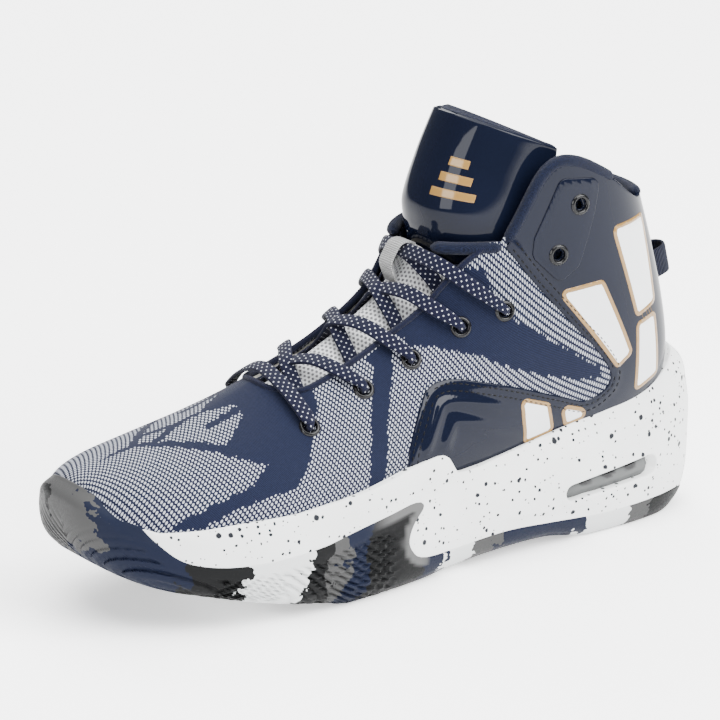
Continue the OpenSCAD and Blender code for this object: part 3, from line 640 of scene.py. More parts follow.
def print_material(name, base, rough=0.28):
    m = Shader(name, base, rough, Coat_Weight=0.7, Coat_Roughness=0.1)
    cloud = m.noise(90, 4)
    fine = m.noise(1800, 2)
    colour = m.mix(cloud, tuple(c * 0.9 for c in base), base)
    return m.finish(colour, m.range(cloud, 0.2, 0.8, rough, rough + 0.15),
                    m.math("ADD", cloud, m.math("MULTIPLY", fine, 0.2)), 0.0003, 0.25)


def cloth_material(name, low, high, pitch=0.9, depth=0.0003, rough=0.85):
    """Woven cloth in object coordinates: two crossing sets of ribs with fuzz."""
    m = Shader(name, low, rough, Sheen_Weight=0.05, Sheen_Roughness=0.5)
    x, y, z = m.axes(m.place())
    k = 2 * math.pi / (pitch * MM)
    one = m.math("SINE", m.math("MULTIPLY", m.math("ADD", m.math("ADD", x, y), z), k))
    two = m.math("SINE", m.math("MULTIPLY", m.math("ADD", m.math("SUBTRACT", x, z), y), k))
    weave = m.math("MULTIPLY", one, two)
    grain = m.noise(1500, 3)
    fac = m.math("ADD", m.math("MULTIPLY", weave, 0.3), grain)
    return m.finish(m.mix(m.range(fac, 0.1, 0.9), low, high), None,
                    m.math("ADD", m.math("MULTIPLY", weave, 0.6), grain), depth, 0.8)


def foam_material():
    m = Shader("midsole_foam", (0.62, 0.63, 0.62), 0.42)
    colour = m.mix(m.noise(30, 2), (0.56, 0.57, 0.565), (0.68, 0.69, 0.685))
    warp = m.node("ShaderNodeTexNoise", {"Vector": m.place(), "Scale": 500.0, "Detail": 2.0}).outputs["Color"]
    bent = m.node("ShaderNodeVectorMath", {0: m.place(), 1: m.node(
        "ShaderNodeVectorMath", {0: warp, 1: (0.0009, 0.0009, 0.0009)}, operation="MULTIPLY").outputs[0]},
        operation="ADD").outputs[0]
    for scale, size, share in ((230.0, 0.30, 1.0), (400.0, 0.34, 1.0)):
        cells = m.node("ShaderNodeTexVoronoi", {"Vector": bent, "Scale": scale}, voronoi_dimensions="3D")
        pick = m.node("ShaderNodeSeparateColor", {0: cells.outputs["Color"]}).outputs
        radius = m.math("MULTIPLY", m.math("MULTIPLY", pick[0], pick[0]), size)
        radius = m.math("MULTIPLY", radius, m.math("LESS_THAN", pick[1], share))
        spot = m.math("LESS_THAN", cells.outputs["Distance"], radius)
        colour = m.mix(spot, colour, (0.012, 0.013, 0.016))
    grain = m.noise(2200, 2)
    return m.finish(colour, m.range(grain, 0.3, 0.7, 0.36, 0.5), grain, 0.00006, 0.35)


R_BLACK, R_NAVY, R_GREY, R_WHITE = ((0.003, 0.0032, 0.0034), (0.0035, 0.0055, 0.015), (0.040, 0.040, 0.040),
                                    (0.48, 0.49, 0.49))
# camouflage of the rubber along the outer side: where each patch starts in x
CAMO = [(-180, R_BLACK), (-120, R_GREY), (-107, R_WHITE), (-80, R_NAVY), (-34, R_GREY), (-21, R_WHITE),
        (-4, R_NAVY), (7, R_BLACK), (42, R_NAVY), (53, R_GREY), (61, R_BLACK), (74, R_WHITE),
        (100, R_BLACK), (125, R_NAVY), (154, R_GREY), (168, R_BLACK)]


def rubber_material():
    m = Shader("outsole_rubber", (0.03, 0.03, 0.03), 0.5)
    x, y, z = m.axes(m.place())
    ragged = m.math("MULTIPLY", m.math("SUBTRACT", m.noise(95, 3, rough=0.6), 0.5), 0.030)
    inner = m.math("MULTIPLY", m.math("MINIMUM", y, 0.0), -0.5)
    along = m.math("ADD", m.math("ADD", x, ragged), m.math("ADD", inner, m.math("MULTIPLY", z, 0.12)))
    share = m.math("DIVIDE", m.math("ADD", along, 0.18), 0.36)
    ramp = m.node("ShaderNodeValToRGB", {"Fac": share})
    ramp.color_ramp.interpolation = "CONSTANT"
    while len(ramp.color_ramp.elements) < len(CAMO):
        ramp.color_ramp.elements.new(0.5)
    for element, (at, colour) in zip(ramp.color_ramp.elements, CAMO):
        element.position = (at + 180) / 360
        element.color = (*colour, 1)
    tint = m.mix(m.attr("edge"), ramp.outputs["Color"], (0.075, 0.075, 0.075))
    grain = m.noise(1200, 3)
    colour = m.mix(m.math("MULTIPLY", grain, 0.03), tint, (0.08, 0.08, 0.085))
    return m.finish(colour, m.range(grain, 0.3, 0.7, 0.40, 0.60), grain, 0.0001, 0.5)


def lace_material():
    m = Shader("lace", NAVY, 0.75, Sheen_Weight=0.04)
    u, v, _ = m.axes(m.attr("weave", "Vector"))
    far, rand = m.cell_dots(u, v, 3.0, 1.55)
    dot = m.math("SUBTRACT", 1.0, m.range(far, 0.26, 0.40), clamp=True)
    dot = m.math("MULTIPLY", dot, m.attr("face"))
    lean = m.math("MULTIPLY", v, 1.2)
    braid = m.math("MULTIPLY", m.math("SINE", m.math("MULTIPLY", m.math("ADD", u, lean), 5.6)),
                   m.math("SINE", m.math("MULTIPLY", m.math("SUBTRACT", u, lean), 5.6)))
    grain = m.noise(1600, 2)
    base = m.mix(m.range(m.math("ADD", braid, grain), -0.4, 1.6), (0.0015, 0.0019, 0.0068),
                 (0.0062, 0.0075, 0.025))
    height = m.math("ADD", m.math("MULTIPLY", braid, 0.5), m.math("MULTIPLY", dot, 0.6))
    return m.finish(m.mix(dot, base, (0.40, 0.41, 0.45)), None,
                    m.math("ADD", height, m.math("MULTIPLY", grain, 0.3)), 0.0003, 0.9)


def mesh_material():
    m = Shader("tongue_mesh", (0.5, 0.5, 0.5), 0.75, Sheen_Weight=0.2)
    u, v, _ = m.axes(m.attr("weave", "Vector"))
    far, rand = m.cell_dots(u, v, 2.1, 1.75)
    hole = m.math("SUBTRACT", 1.0, m.range(far, 0.42, 0.80), clamp=True)
    grain = m.noise(1500, 3)
    yarn = m.mix(grain, (0.34, 0.345, 0.355), (0.56, 0.565, 0.58))
    colour = m.mix(m.math("MULTIPLY", hole, 0.8), yarn, (0.03, 0.03, 0.033))
    height = m.math("SUBTRACT", m.math("MULTIPLY", grain, 0.25), hole)
    return m.finish(colour, None, height, 0.0007, 0.9)


def ribbed_material(name, low, high, pitch=0.85):
    """Webbing: ribs across its length, which runs along the weave's first coordinate."""
    m = Shader(name, low, 0.72, Sheen_Weight=0.04)
    u, v, _ = m.axes(m.attr("weave", "Vector"))
    rib = m.math("SINE", m.math("MULTIPLY", u, 2 * math.pi / pitch))
    cross = m.math("SINE", m.math("MULTIPLY", v, 2 * math.pi / 0.55))
    grain = m.noise(1800, 2)
    fac = m.math("ADD", m.math("MULTIPLY", rib, 0.35), grain)
    height = m.math("ADD", rib, m.math("MULTIPLY", cross, 0.25))
    height = m.math("ADD", height, m.math("MULTIPLY", grain, 0.3))
    return m.finish(m.mix(m.range(fac, 0.15, 0.95), low, high), None, height, 0.00022, 0.9)


def gloss_material(name, base, rough=0.12, **extra):
    m = Shader(name, base, rough, **extra)
    grain = m.noise(700, 3)
    return m.finish(m.mix(grain, tuple(c * 0.7 for c in base), tuple(c * 1.3 for c in base)),
                    m.range(grain, 0.3, 0.7, rough, rough + 0.12), grain, 0.00008, 0.2)


def air_material():
    m = Shader("air_unit", (0.06, 0.06, 0.06), 0.10, Coat_Weight=0.4, Coat_Roughness=0.06)
    dark = m.attr("pillar")
    cloud = m.noise(60, 3)
    base = m.mix(cloud, (0.045, 0.048, 0.048), (0.085, 0.088, 0.088))
    return m.finish(m.mix(dark, base, (0.008, 0.008, 0.009)), m.range(cloud, 0.2, 0.8, 0.06, 0.2),
                    cloud, 0.0006, 0.3)


KNIT = knit_material()
PATENT = patent_material("patent", (0.0028, 0.0040, 0.0098))
PRINT_WHITE = print_material("print_white", (0.60, 0.61, 0.62))
PRINT_GOLD = print_material("print_gold", (0.19, 0.105, 0.026), 0.35)
TEXTILE = cloth_material("collar_textile", (0.0013, 0.0020, 0.0058), (0.0060, 0.0088, 0.024))
LINING = cloth_material("lining", (0.006, 0.0075, 0.016), (0.022, 0.024, 0.042), 1.3)
SOCK = cloth_material("sock_cloth", (0.0018, 0.0026, 0.007), (0.008, 0.010, 0.024), 1.1)
BINDING = cloth_material("binding", (0.0013, 0.0020, 0.0068), (0.0062, 0.0080, 0.025), 0.7)
FOAM = foam_material()
RUBBER_MAT = rubber_material()
LACE = lace_material()
MESH = mesh_material()
LOOP_WEB = ribbed_material("webbing_grey", (0.16, 0.16, 0.16), (0.28, 0.28, 0.278))
TAB_WEB = ribbed_material("webbing_navy", (0.0013, 0.0020, 0.006), (0.0055, 0.0078, 0.022))
EYELET = gloss_material("eyelet", (0.0025, 0.0025, 0.003), 0.22, Coat_Weight=0.3, Coat_Roughness=0.12)
THREAD = cloth_material("thread", (0.0006, 0.0006, 0.001), (0.003, 0.003, 0.004), 0.4, 0.0001, 0.7)
AGLET = gloss_material("aglet", (0.02, 0.022, 0.06), 0.2)
STIFF = cloth_material("stiffener", (0.32, 0.31, 0.28), (0.55, 0.53, 0.48), 1.4)
PAD = cloth_material("padding_foam", (0.50, 0.46, 0.36), (0.68, 0.64, 0.52), 1.8)
AIR = air_material()


# ---------------------------------------------------------------- outlines on the foot shape
def xz(s, a, d=0.0):
    return skin(s, a, d)[:, [0, 2]]


COLLAR = np.vstack([rounded(COLLAR_EDGE, 8), [[-200, 146], [-200, -50], [300, -50], [300, 137]]])
KNIT_OUT = np.vstack([rounded(KNIT_EDGE, 8), [[17, -60], [300, -60], [300, 200], [-41, 200]]])
half_throat = rounded(THROAT, 8)
THROAT_LINE = np.vstack([half_throat, (half_throat * [1, -1])[:0:-1]])
COLLAR_LINING = np.array([[-20, 140], [-44, 110], [-70, 88], [-96, 72], [-170, 66], [-170, 220],
                          [-20, 220]], float)


def in_collar(s, a):
    return inside(xz(s, a), COLLAR)


def in_knit(s, a):
    return inside(xz(s, a), KNIT_OUT)


def over_board(s, a):
    p = xz(s, a)
    return p[:, 1] - np.interp(p[:, 0], *np.array(BOARD_EDGE, float).T)


def off_throat(s, a):
    """Distance from the throat opening, negative in it."""
    p = skin(s, a, 0)
    x, z = p[:, 0] - INSTEP[0], p[:, 2] - INSTEP[1]
    c, k = math.cos(INSTEP[2]), math.sin(INSTEP[2])
    flat = np.stack([z * k - x * c, p[:, 1] - SHIFT], 1)
    return np.where(np.abs(x * k + z * c) > 25, 99, -inside(flat, THROAT_LINE))


def off_eyes(s, a, eyes=EYES, r=2.9, lift=0.0):
    p = skin(s, a, 0)
    best = np.full(len(p), 99.0)
    for e in eyes:
        for side in (1, -1):
            best = np.minimum(best, np.linalg.norm(p - skin(e[0], side * e[1], lift), axis=1) - r)
    return best


# arc lengths over the forefoot: along the shoe, and round it from the top line
S_LINE, A_LINE = np.linspace(0, 1, 401), np.linspace(30, 330, 301)
_s, _a = np.meshgrid(S_LINE, A_LINE, indexing="ij")
_p = skin(_s.ravel(), _a.ravel(), 0).reshape(*_s.shape, 3)
RUN_U = np.vstack([np.zeros(len(A_LINE)), np.cumsum(np.linalg.norm(np.diff(_p, axis=0), axis=2), 0)])
RUN_V = np.hstack([np.zeros((len(S_LINE), 1)), np.cumsum(np.linalg.norm(np.diff(_p, axis=1), axis=2), 1)])
RUN_V = RUN_V - RUN_V[:, [150]]


def flat(s, a):
    """Metric coordinates of points on the foot shape, with a between 30 and 330."""
    i = np.clip(np.asarray(s) * 400, 0, 399.999)
    j = np.clip(np.asarray(a) - 30, 0, 299.999)
    i0, j0 = i.astype(int), j.astype(int)
    fi, fj = i - i0, j - j0

    def read(t):
        return ((t[i0, j0] * (1 - fi) + t[i0 + 1, j0] * fi) * (1 - fj)
                + (t[i0, j0 + 1] * (1 - fi) + t[i0 + 1, j0 + 1] * fi) * fj)
    return np.stack([read(RUN_U), read(RUN_V)], 1)


# ---------------------------------------------------------------- knit upper
# plain navy areas of the knit: share and angle of the corners
NAVY_AREAS = [
    [[0.284, 184], [0.284, 180], [0.334, 168], [0.328, 160], [0.276, 149], [0.284, 143], [0.306, 137],
     [0.316, 132], [0.274, 123], [0.218, 117], [0.162, 107], [0.140, 101], [0.178, 100], [0.252, 114],
     [0.340, 117], [0.370, 123], [0.406, 136], [0.432, 143], [0.46, 184]],
    [[0.590, 146], [0.548, 146], [0.546, 140], [0.502, 125], [0.460, 101], [0.445, 90], [0.470, 90],
     [0.482, 98], [0.524, 121], [0.574, 137]],
    [[0.610, 150], [0.615, 138], [0.644, 131], [0.698, 113], [0.728, 97], [0.766, 81], [0.788, 73],
     [0.808, 67], [0.812, 71], [0.794, 90], [0.770, 110], [0.768, 118], [0.79, 132], [0.74, 150]]]
# navy lines of the knit: their points, and half their width at both ends
NAVY_LINES = [
    ([[0.10, 182], [0.165, 180], [0.202, 167], [0.240, 156], [0.284, 143], [0.31, 136]], 0.7, 1.8),
    ([[0.192, 172], [0.225, 177], [0.250, 180], [0.29, 182]], 0.8, 1.0),
    ([[0.272, 165], [0.340, 165]], 0.9, 1.6)]


def navy_zone(s, a):
    """Distance into the plain navy areas, negative in the dotted ones."""
    out = np.full(len(s), -99.0)
    here = flat(s, np.where(a > 180, 360 - a, a))
    for corners in NAVY_AREAS:
        c = np.array(corners, float)
        out = np.maximum(out, inside(here, flat(c[:, 0], c[:, 1])))
    for points, w0, w1 in NAVY_LINES:
        c = np.array(points, float)
        line = flat(c[:, 0], c[:, 1])
        share = np.clip((s - c[0, 0]) / (c[-1, 0] - c[0, 0]), 0, 1)
        out = np.maximum(out, w0 + (w1 - w0) * share - near(here, line))
    return out


def weave(s, a):
    p = flat(s, a)
    return np.hstack([p, np.zeros((len(p), 1))])


front = Sheet.grid(np.linspace(0, 0.97, 300), np.linspace(42, 318, 226))
knit = front.clip(over_board).clip(in_collar).clip(lambda s, a: in_knit(s, a) + 1.0)
knit = knit.clip(off_throat).clip(off_eyes)


def add(name, part, material, body, slot, *nodes, smooth_angle=50):
    """A finished piece from (points, faces, values)."""
    verts, faces, attrs = part
    piece = make_object(name, verts, faces, material, attrs, smooth_angle)
    return place(piece, body, slot, *nodes)


def level(d):
    return lambda s, a: d + 0 * s


def knit_top(s, a):
    return -0.5 * smooth(-in_knit(s, a), -0.6, 0.6)


add("knit_upper", shell(knit, knit_top, level(-1.6), 0.5, 2,
                        attrs={"weave": weave(*knit.uv.T), "zone": navy_zone(*knit.uv.T)}),
    KNIT, "shoe", "knit", "knit_upper")

# ---------------------------------------------------------------- patent panels
RIDGES = [(8.5, 2.4, 0.9), (17.0, 2.8, 0.8)]      # distance from the seam, width, height


def saddle(s, a):
    """Share of the sculpted lower panel: 1 under the front of the seam, 0 at the heel."""
    p = xz(s, a)
    above_rim = p[:, 1] - np.interp(p[:, 0], *np.array(RIM, float).T)
    return smooth(p[:, 0], -62, -30) * smooth(-p[:, 1], -92, -84) * smooth(above_rim, 0, 7)


def patent_top(s, a):
    e = -in_knit(s, a)
    out = 0.45 + 0.25 * np.exp(-((e - 2.6) / 2.2) ** 2)
    for at, wide, high in RIDGES:
        out = out + saddle(s, a) * high * np.exp(-((e - at) / wide) ** 2)
    return out


def over_patent(lift):
    return lambda s, a: patent_top(s, a) + lift


def side_sheet(side, step=1.25, low=0.0, high=150.0, start=0.50):
    """Sheet of the patent panel on one side."""
    us = np.linspace(start, 1, int((1 - start) * 330 / step))
    vs = np.linspace(low, high, int((high - low) * 0.95 / step))
    if side < 0:
        vs = -vs[::-1]
    return (Sheet.grid(us, vs).clip(over_board).clip(lambda s, a: in_collar(s, a) - 2.6)
            .clip(lambda s, a: -in_knit(s, a)))


SIDES = (("lateral", 1), ("medial", -1))
panels = {}
for word, side in SIDES:
    panels[side] = side_sheet(side)
    cut = panels[side].clip(lambda s, a: off_eyes(s, a, ANKLE_EYES))
    add("patent_panel_" + word, shell(cut, patent_top, level(-1.5), 0.55, 3), PATENT, "shoe", "patent",
        "patent_panel_" + word)


# ---------------------------------------------------------------- printed bars
RIM_W = 1.8


def in_bars(s, a):
    p = xz(s, a)
    return np.max([inside(p, offset_poly(np.array(b, float), -1.0)) for b in BARS], axis=0) + 1.0


for word, side in SIDES:
    fine = side_sheet(side, 1.0, 25, 140, 0.6)
    white = fine.clip(in_bars)
    add("motif_" + word, shell(white, over_patent(0.14), over_patent(-0.2), 0.1, 1), PRINT_WHITE, "shoe",
        "print_white", "motif_" + word)
    gold = fine.clip(lambda s, a: in_bars(s, a) + RIM_W).clip(lambda s, a: -in_bars(s, a))
    add("motif_outline_" + word, shell(gold, over_patent(0.12), over_patent(-0.2), 0.1, 1), PRINT_GOLD,
        "shoe", "print_gold", "motif_outline_" + word)

# ---------------------------------------------------------------- ankle patches and backstay
PATCH_IN = offset_poly(np.array(ANKLE_PATCH, float), -4.0)


def in_patch(s, a):
    return inside(xz(s, a), PATCH_IN) + 4.0


for word, side in SIDES:
    fine = side_sheet(side, 1.0, 70, 130, 0.84)
    patch = fine.clip(in_patch).clip(lambda s, a: off_eyes(s, a, ANKLE_EYES))
    add("ankle_patch_" + word, shell(patch, lambda s, a: 1.2 - 0.2 * smooth(-in_patch(s, a), -2.4, -1.6),
                                     level(0.2), 0.3, 3), PATENT, "shoe", "patent", "ankle_patch_" + word)


def in_backstay(s, a):
    p = skin(s, a, 0)
    return 8.0 - np.abs(p[:, 1] - SHIFT)


heel = Sheet.grid(np.linspace(0.72, 1, 150), np.linspace(-40, 40, 61))
heel = heel.clip(over_board).clip(lambda s, a: in_collar(s, a) - 2.8).clip(in_backstay)
heel = heel.clip(lambda s, a: -95 - skin(s, a, 0)[:, 0])
add("backstay", shell(heel, level(1.15), level(0.1), 0.5, 3), PATENT, "shoe", "patent", "backstay")

# ---------------------------------------------------------------- linings
all_round = np.linspace(-180, 180, 151)
shaft = Sheet.grid(np.linspace(0.55, 1, 90), all_round)
inner = shaft.clip(lambda s, a: in_collar(s, a) - 2.5).clip(off_throat)
inner = inner.clip(lambda s, a: inside(xz(s, a), COLLAR_LINING))
add("collar_lining", shell(inner, lambda s, a: -2.9 - swell(s, a), lambda s, a: -4.2 - swell(s, a), 0.2, 1),
    TEXTILE, "shoe", "collar_textile", "collar_lining")
vamp = Sheet.grid(np.linspace(0, 0.96, 150), np.linspace(0, 360, 151))
vamp = vamp.clip(lambda s, a: in_collar(s, a) - 2.5).clip(off_throat)
vamp = vamp.clip(lambda s, a: -inside(xz(s, a), COLLAR_LINING)).clip(off_eyes)
add("vamp_lining", shell(vamp, lambda s, a: -2.9 - swell(s, a), lambda s, a: -3.6 - swell(s, a), 0.2, 1),
    LINING, "shoe", "lining", "vamp_lining")


# ---------------------------------------------------------------- rolled edges
def surface_tube(lines, depth, across, through, section=16, step=1.6, surf=skin, norm=normal):
    """Rolled edging along lines of (s, a): half width across and through the surface."""
    parts = []
    for line in lines:
        closed = bool(np.allclose(line[0], line[-1]))
        p0 = surf(line[:, 0], line[:, 1], 0)
        run = distances(p0)
        t = np.linspace(0, run[-1], max(int(run[-1] / step), 4) + 1)
        s, a = np.interp(t, run, line[:, 0]), np.interp(t, run, line[:, 1])
        if closed:
            s, a = s[:-1], a[:-1]
        for _ in range(3):
            if closed:
                s = (np.roll(s, 1) + 2 * s + np.roll(s, -1)) / 4
                a = (np.roll(a, 1) + 2 * a + np.roll(a, -1)) / 4
            else:
                s[1:-1] = (s[:-2] + 2 * s[1:-1] + s[2:]) / 4
                a[1:-1] = (a[:-2] + 2 * a[1:-1] + a[2:]) / 4
        n = norm(s, a)
        d = depth(s, a) if callable(depth) else depth
        p = surf(s, a, d)
        ahead = tangents(p, closed, 1)
        wide = unit(np.cross(ahead, n))
        thick = unit(np.cross(wide, ahead))
        rx = across(s, a) if callable(across) else np.full(len(s), across)
        ry = through(s, a) if callable(through) else np.full(len(s), through)
        if not closed:
            taper = np.sqrt(np.clip(np.minimum(np.arange(len(s)), np.arange(len(s))[::-1]) / 2.0 + 0.1, 0, 1))
            rx, ry = rx * taper, ry * taper
        ring = ellipse(1, 1, section)
        m = section
        verts = (p[:, None] + ring[None, :, 0:1] * (wide * rx[:, None])[:, None]
                 + ring[None, :, 1:2] * (thick * ry[:, None])[:, None]).reshape(-1, 3)
        quads = tube(p, wide, thick, ring, closed)[1]
        run = distances(p)
        angle = np.linspace(0, 2 * math.pi, m, endpoint=False)
        wv = np.stack([np.repeat(run, m), np.tile(angle, len(s)) * np.repeat((rx + ry) / 2, m),
                       np.zeros(len(s) * m)], 1)
        parts.append((verts, quads, {"weave": wv}))
    return merge(parts)


rim_sheet = Sheet.grid(np.linspace(0.6, 1, 140), np.linspace(-160, 160, 201))
rim_lines = contours(rim_sheet, lambda s, a: in_collar(s, a) - 1.9)
rim_lines = [c for c in rim_lines if len(c) > 60]
collar = surface_tube(rim_lines, lambda s, a: -(3.6 + swell(s, a)) / 2 + 0.1, 2.7,
                      lambda s, a: (3.6 + swell(s, a)) / 2 + 1.1)
piece = add("collar_binding", collar, TEXTILE, "shoe", "collar_textile", "collar_binding")

throat_sheet = Sheet.grid(np.linspace(0.3, 0.86, 200), np.linspace(95, 265, 170))
throat_sheet = throat_sheet.clip(lambda s, a: in_knit(s, a) + 1).clip(lambda s, a: in_collar(s, a) - 0.2)
throat_lines = [c for c in contours(throat_sheet, off_throat) if len(c) > 40]
piping = surface_tube(throat_lines, -0.2, 1.35, 1.5, 12)
add("throat_binding", piping, BINDING, "shoe", "collar_textile", "throat_binding")


# ---------------------------------------------------------------- stitching
def stitches(lines, height, pitch=2.9, length=2.1, r=0.27, surf=skin, norm=normal):
    """Rows of single stitches along lines of (u, v), each one a low bent capsule."""
    parts = []
    ring = ellipse(r, r * 0.8, 6)
    for line in lines:
        p = surf(line[:, 0], line[:, 1], 0)
        run = distances(p)
        count = int(run[-1] / pitch)
        if count < 2:
            continue
        start = (np.arange(count) + 0.5) * run[-1] / count - length / 2
        share = np.array([0, 0.18, 0.5, 0.82, 1.0])
        rise = np.array([-0.55, 0.02, 0.16, 0.02, -0.55]) * r * 2.2
        t = (start[:, None] + share[None] * length).ravel()
        u, v = np.interp(t, run, line[:, 0]), np.interp(t, run, line[:, 1])
        h = height(u, v) if callable(height) else height
        q, n = surf(u, v, h + np.tile(rise, count)), norm(u, v)
        for k in range(count):
            rows = slice(k * 5, k * 5 + 5)
            ahead = tangents(q[rows], False, 1)
            wide = unit(np.cross(ahead, n[rows]))
            parts.append((*tube(q[rows], wide, unit(np.cross(wide, ahead)), ring), {}))
    return merge(parts)


def rows_of(sheet, field, offsets):
    return [c for at in offsets for c in contours(sheet, lambda s, a: field(s, a) - at)]


seam_lines = []
for word, side in SIDES:
    seam_lines += rows_of(panels[side], lambda s, a: -in_knit(s, a), (1.3, 4.2))
seam_lines = [c[(over_board(*c.T) > 1) & (in_collar(*c.T) > 4)] for c in seam_lines]
add("stitching_seam", stitches([c for c in seam_lines if len(c) > 8], patent_top), THREAD, "shoe", "lace")
heel_lines = rows_of(heel, in_backstay, (1.5,))
heel_lines = [c[(over_board(*c.T) > 1) & (in_collar(*c.T) > 4)] for c in heel_lines]
add("stitching_backstay", stitches([c for c in heel_lines if len(c) > 8], 1.15), THREAD, "shoe", "lace")


# ---------------------------------------------------------------- eyelets
def eyelet(centre, axis, reach, lift, m=40):
    """One eyelet: a rolled flange and a barrel, turned round its axis."""
    bore, outer = 2.6, 4.5
    profile = [(bore, -reach), (bore, lift + 0.1), (bore + 0.18, lift + 0.62), (bore + 0.6, lift + 1.0),
               (bore + 1.1, lift + 1.05), (outer - 0.35, lift + 0.72), (outer, lift + 0.3),
               (outer - 0.15, lift), (bore + 0.6, lift), (bore + 0.6, -reach)]
    side = unit(np.cross(axis, [0.0, 0.0, 1.0]))
    up = np.cross(axis, side)
    t = np.linspace(0, 2 * math.pi, m, endpoint=False)
    spoke = np.cos(t)[:, None] * side + np.sin(t)[:, None] * up
    k = len(profile)
    verts = np.vstack([centre + spoke * r + axis * z for r, z in profile])
    i, j = np.meshgrid(np.arange(k), np.arange(m), indexing="ij")
    a, b = i * m + j, i * m + (j + 1) % m
    c, d = ((i + 1) % k) * m + (j + 1) % m, ((i + 1) % k) * m + j
    return verts, [np.stack([a.ravel(), d.ravel(), c.ravel(), b.ravel()], 1)], {}


def eyelet_row(eyes, base, reach):
    return merge([eyelet(skin(s, side * a, base)[0], normal(s, side * a)[0], reach, 0.05)
                  for side in (1, -1) for s, a in eyes])


add("lace_eyelets", eyelet_row(EYES, 0.0, 3.6), EYELET, "shoe", "eyelet", "lace_eyelets", smooth_angle=60)
add("ankle_eyelets", eyelet_row(ANKLE_EYES, 1.0, 4.4), EYELET, "shoe", "eyelet", "ankle_eyelets",
    smooth_angle=60)


# ---------------------------------------------------------------- lace
def half_lace(side, lift):
    rings = []
    for i in range(len(EYES) - 1):
        e, f = EYES[i], EYES[i + 1]
        s = side if i % 2 == 0 else -side
        for r in STRETCH:
            gap = 180 - (e[1] if r[1] > 0 else f[1])
            rings.append([e[0] + (f[0] - e[0]) * r[0], 180 - s * r[1] * gap, r[2] + lift * r[5],
                          LACE_W * r[3], LACE_T * r[4]])
    e, last = EYES[-1], side if len(EYES) % 2 else -side
    turn = 180 - last * (180 - e[1])
    for r in STRETCH[:2]:
        rings.append([e[0], turn, r[2], LACE_W * r[3], LACE_T * r[4]])
    for k, r in enumerate(TAIL):
        rings.append([r[0], 180 - last * (180 - r[1]), r[2], 1.1 if k == 3 else LACE_W * 0.46, LACE_T * 0.5])
    return rings


def lace_part(per=7):
    rings = half_lace(1, 0.5)[::-1]
    rings += [[EYES[0][0], 180 - b[0] * (180 - EYES[0][1]), b[1], LACE_W / 2, LACE_T / 2] for b in BAR]
    rings = np.array(rings + half_lace(-1, -1.2))
    spine = skin(rings[:, 0], rings[:, 1], rings[:, 2])
    spine = rounded(spine, per)
    n = len(rings)
    t, k = np.linspace(0, n - 1, len(spine)), np.arange(n)
    s, a, half_w, half_t = (np.interp(t, k, rings[:, c]) for c in (0, 1, 3, 4))
    for _ in range(4):
        spine[1:-1] = (spine[:-2] + 2 * spine[1:-1] + spine[2:]) / 4
    ahead = tangents(spine, False, 2)
    up = bare(s + 0.002, a) - bare(s, a)
    wide = unit(up - (up * ahead).sum(1)[:, None] * ahead)
    for _ in range(6):
        wide[1:-1] = unit(wide[:-2] + wide[1:-1] * 2 + wide[2:])
    wide = unit(wide - (wide * ahead).sum(1)[:, None] * ahead)
    thick = np.cross(ahead, wide)
    run = distances(spine)
    m = 20
    ring = ellipse(1, 1, m, 0.62)
    verts = (spine[:, None] + ring[None, :, 0:1] * (wide * half_w[:, None])[:, None]
             + ring[None, :, 1:2] * (thick * half_t[:, None] * 1.45)[:, None]).reshape(-1, 3)
    quads = tube(spine, wide, thick, ring)[1]
    wv = np.stack([np.repeat(run, m), (ring[None, :, 0] * half_w[:, None]).ravel(), np.zeros(len(verts))], 1)
    face = np.tile(smooth(np.abs(ring[:, 1]), 0.35, 0.6), len(spine))
    return verts, quads, {"weave": wv, "face": face}


add("lace", lace_part(), LACE, "shoe", "lace", "lace", smooth_angle=70)


# ---------------------------------------------------------------- mesh tongue and its webbing loop
def tongue_row(s):
    return np.stack([np.interp(s, *np.array(TONGUE, float)[:, [0, k]].T) for k in (1, 2)], 1)


def tongue_surf(s, q, d):
    s, q, d = np.broadcast_arrays(*(np.atleast_1d(np.asarray(v, float)) for v in (s, q, d)))
    row = tongue_row(s)
    return skin(s, 180 + q * row[:, 0], row[:, 1] + d)


def tongue_norm(s, q):
    return normal(s, 180 + q * tongue_row(s)[:, 0])


def puff(s, q):
    """Padding of the tongue: fuller in the middle, with a thick roll along its top edge."""
    roll = np.exp(-((s - 0.733) / 0.009) ** 2)
    return 0.5 * (1 - q ** 4) + 1.3 * roll * (1 - 0.6 * np.abs(q) ** 3) - 0.4


tongue = Sheet.grid(np.linspace(0.353, 0.744, 150), np.linspace(-0.985, 0.985, 70))
p = tongue_surf(tongue.uv[:, 0], tongue.uv[:, 1], 0)
grid_p = p.reshape(150, 70, 3)
ru = np.vstack([np.zeros(70), np.cumsum(np.linalg.norm(np.diff(grid_p, axis=0), axis=2), 0)])
rv = np.hstack([np.zeros((150, 1)), np.cumsum(np.linalg.norm(np.diff(grid_p, axis=1), axis=2), 1)])
wv = np.stack([ru.ravel(), rv.ravel(), 0 * ru.ravel()], 1)
piece = add("tongue_mesh", shell(tongue, puff, level(-0.9), 0.6, 3, tongue_surf, tongue_norm, {"weave": wv}),
            MESH, "shoe", "mesh", "tongue_mesh")
add("tongue_mesh_lining", shell(tongue, level(-3.2), level(-3.85), 0.1, 1, tongue_surf, tongue_norm),
    LINING, "shoe", "lining", "tongue_mesh_lining")

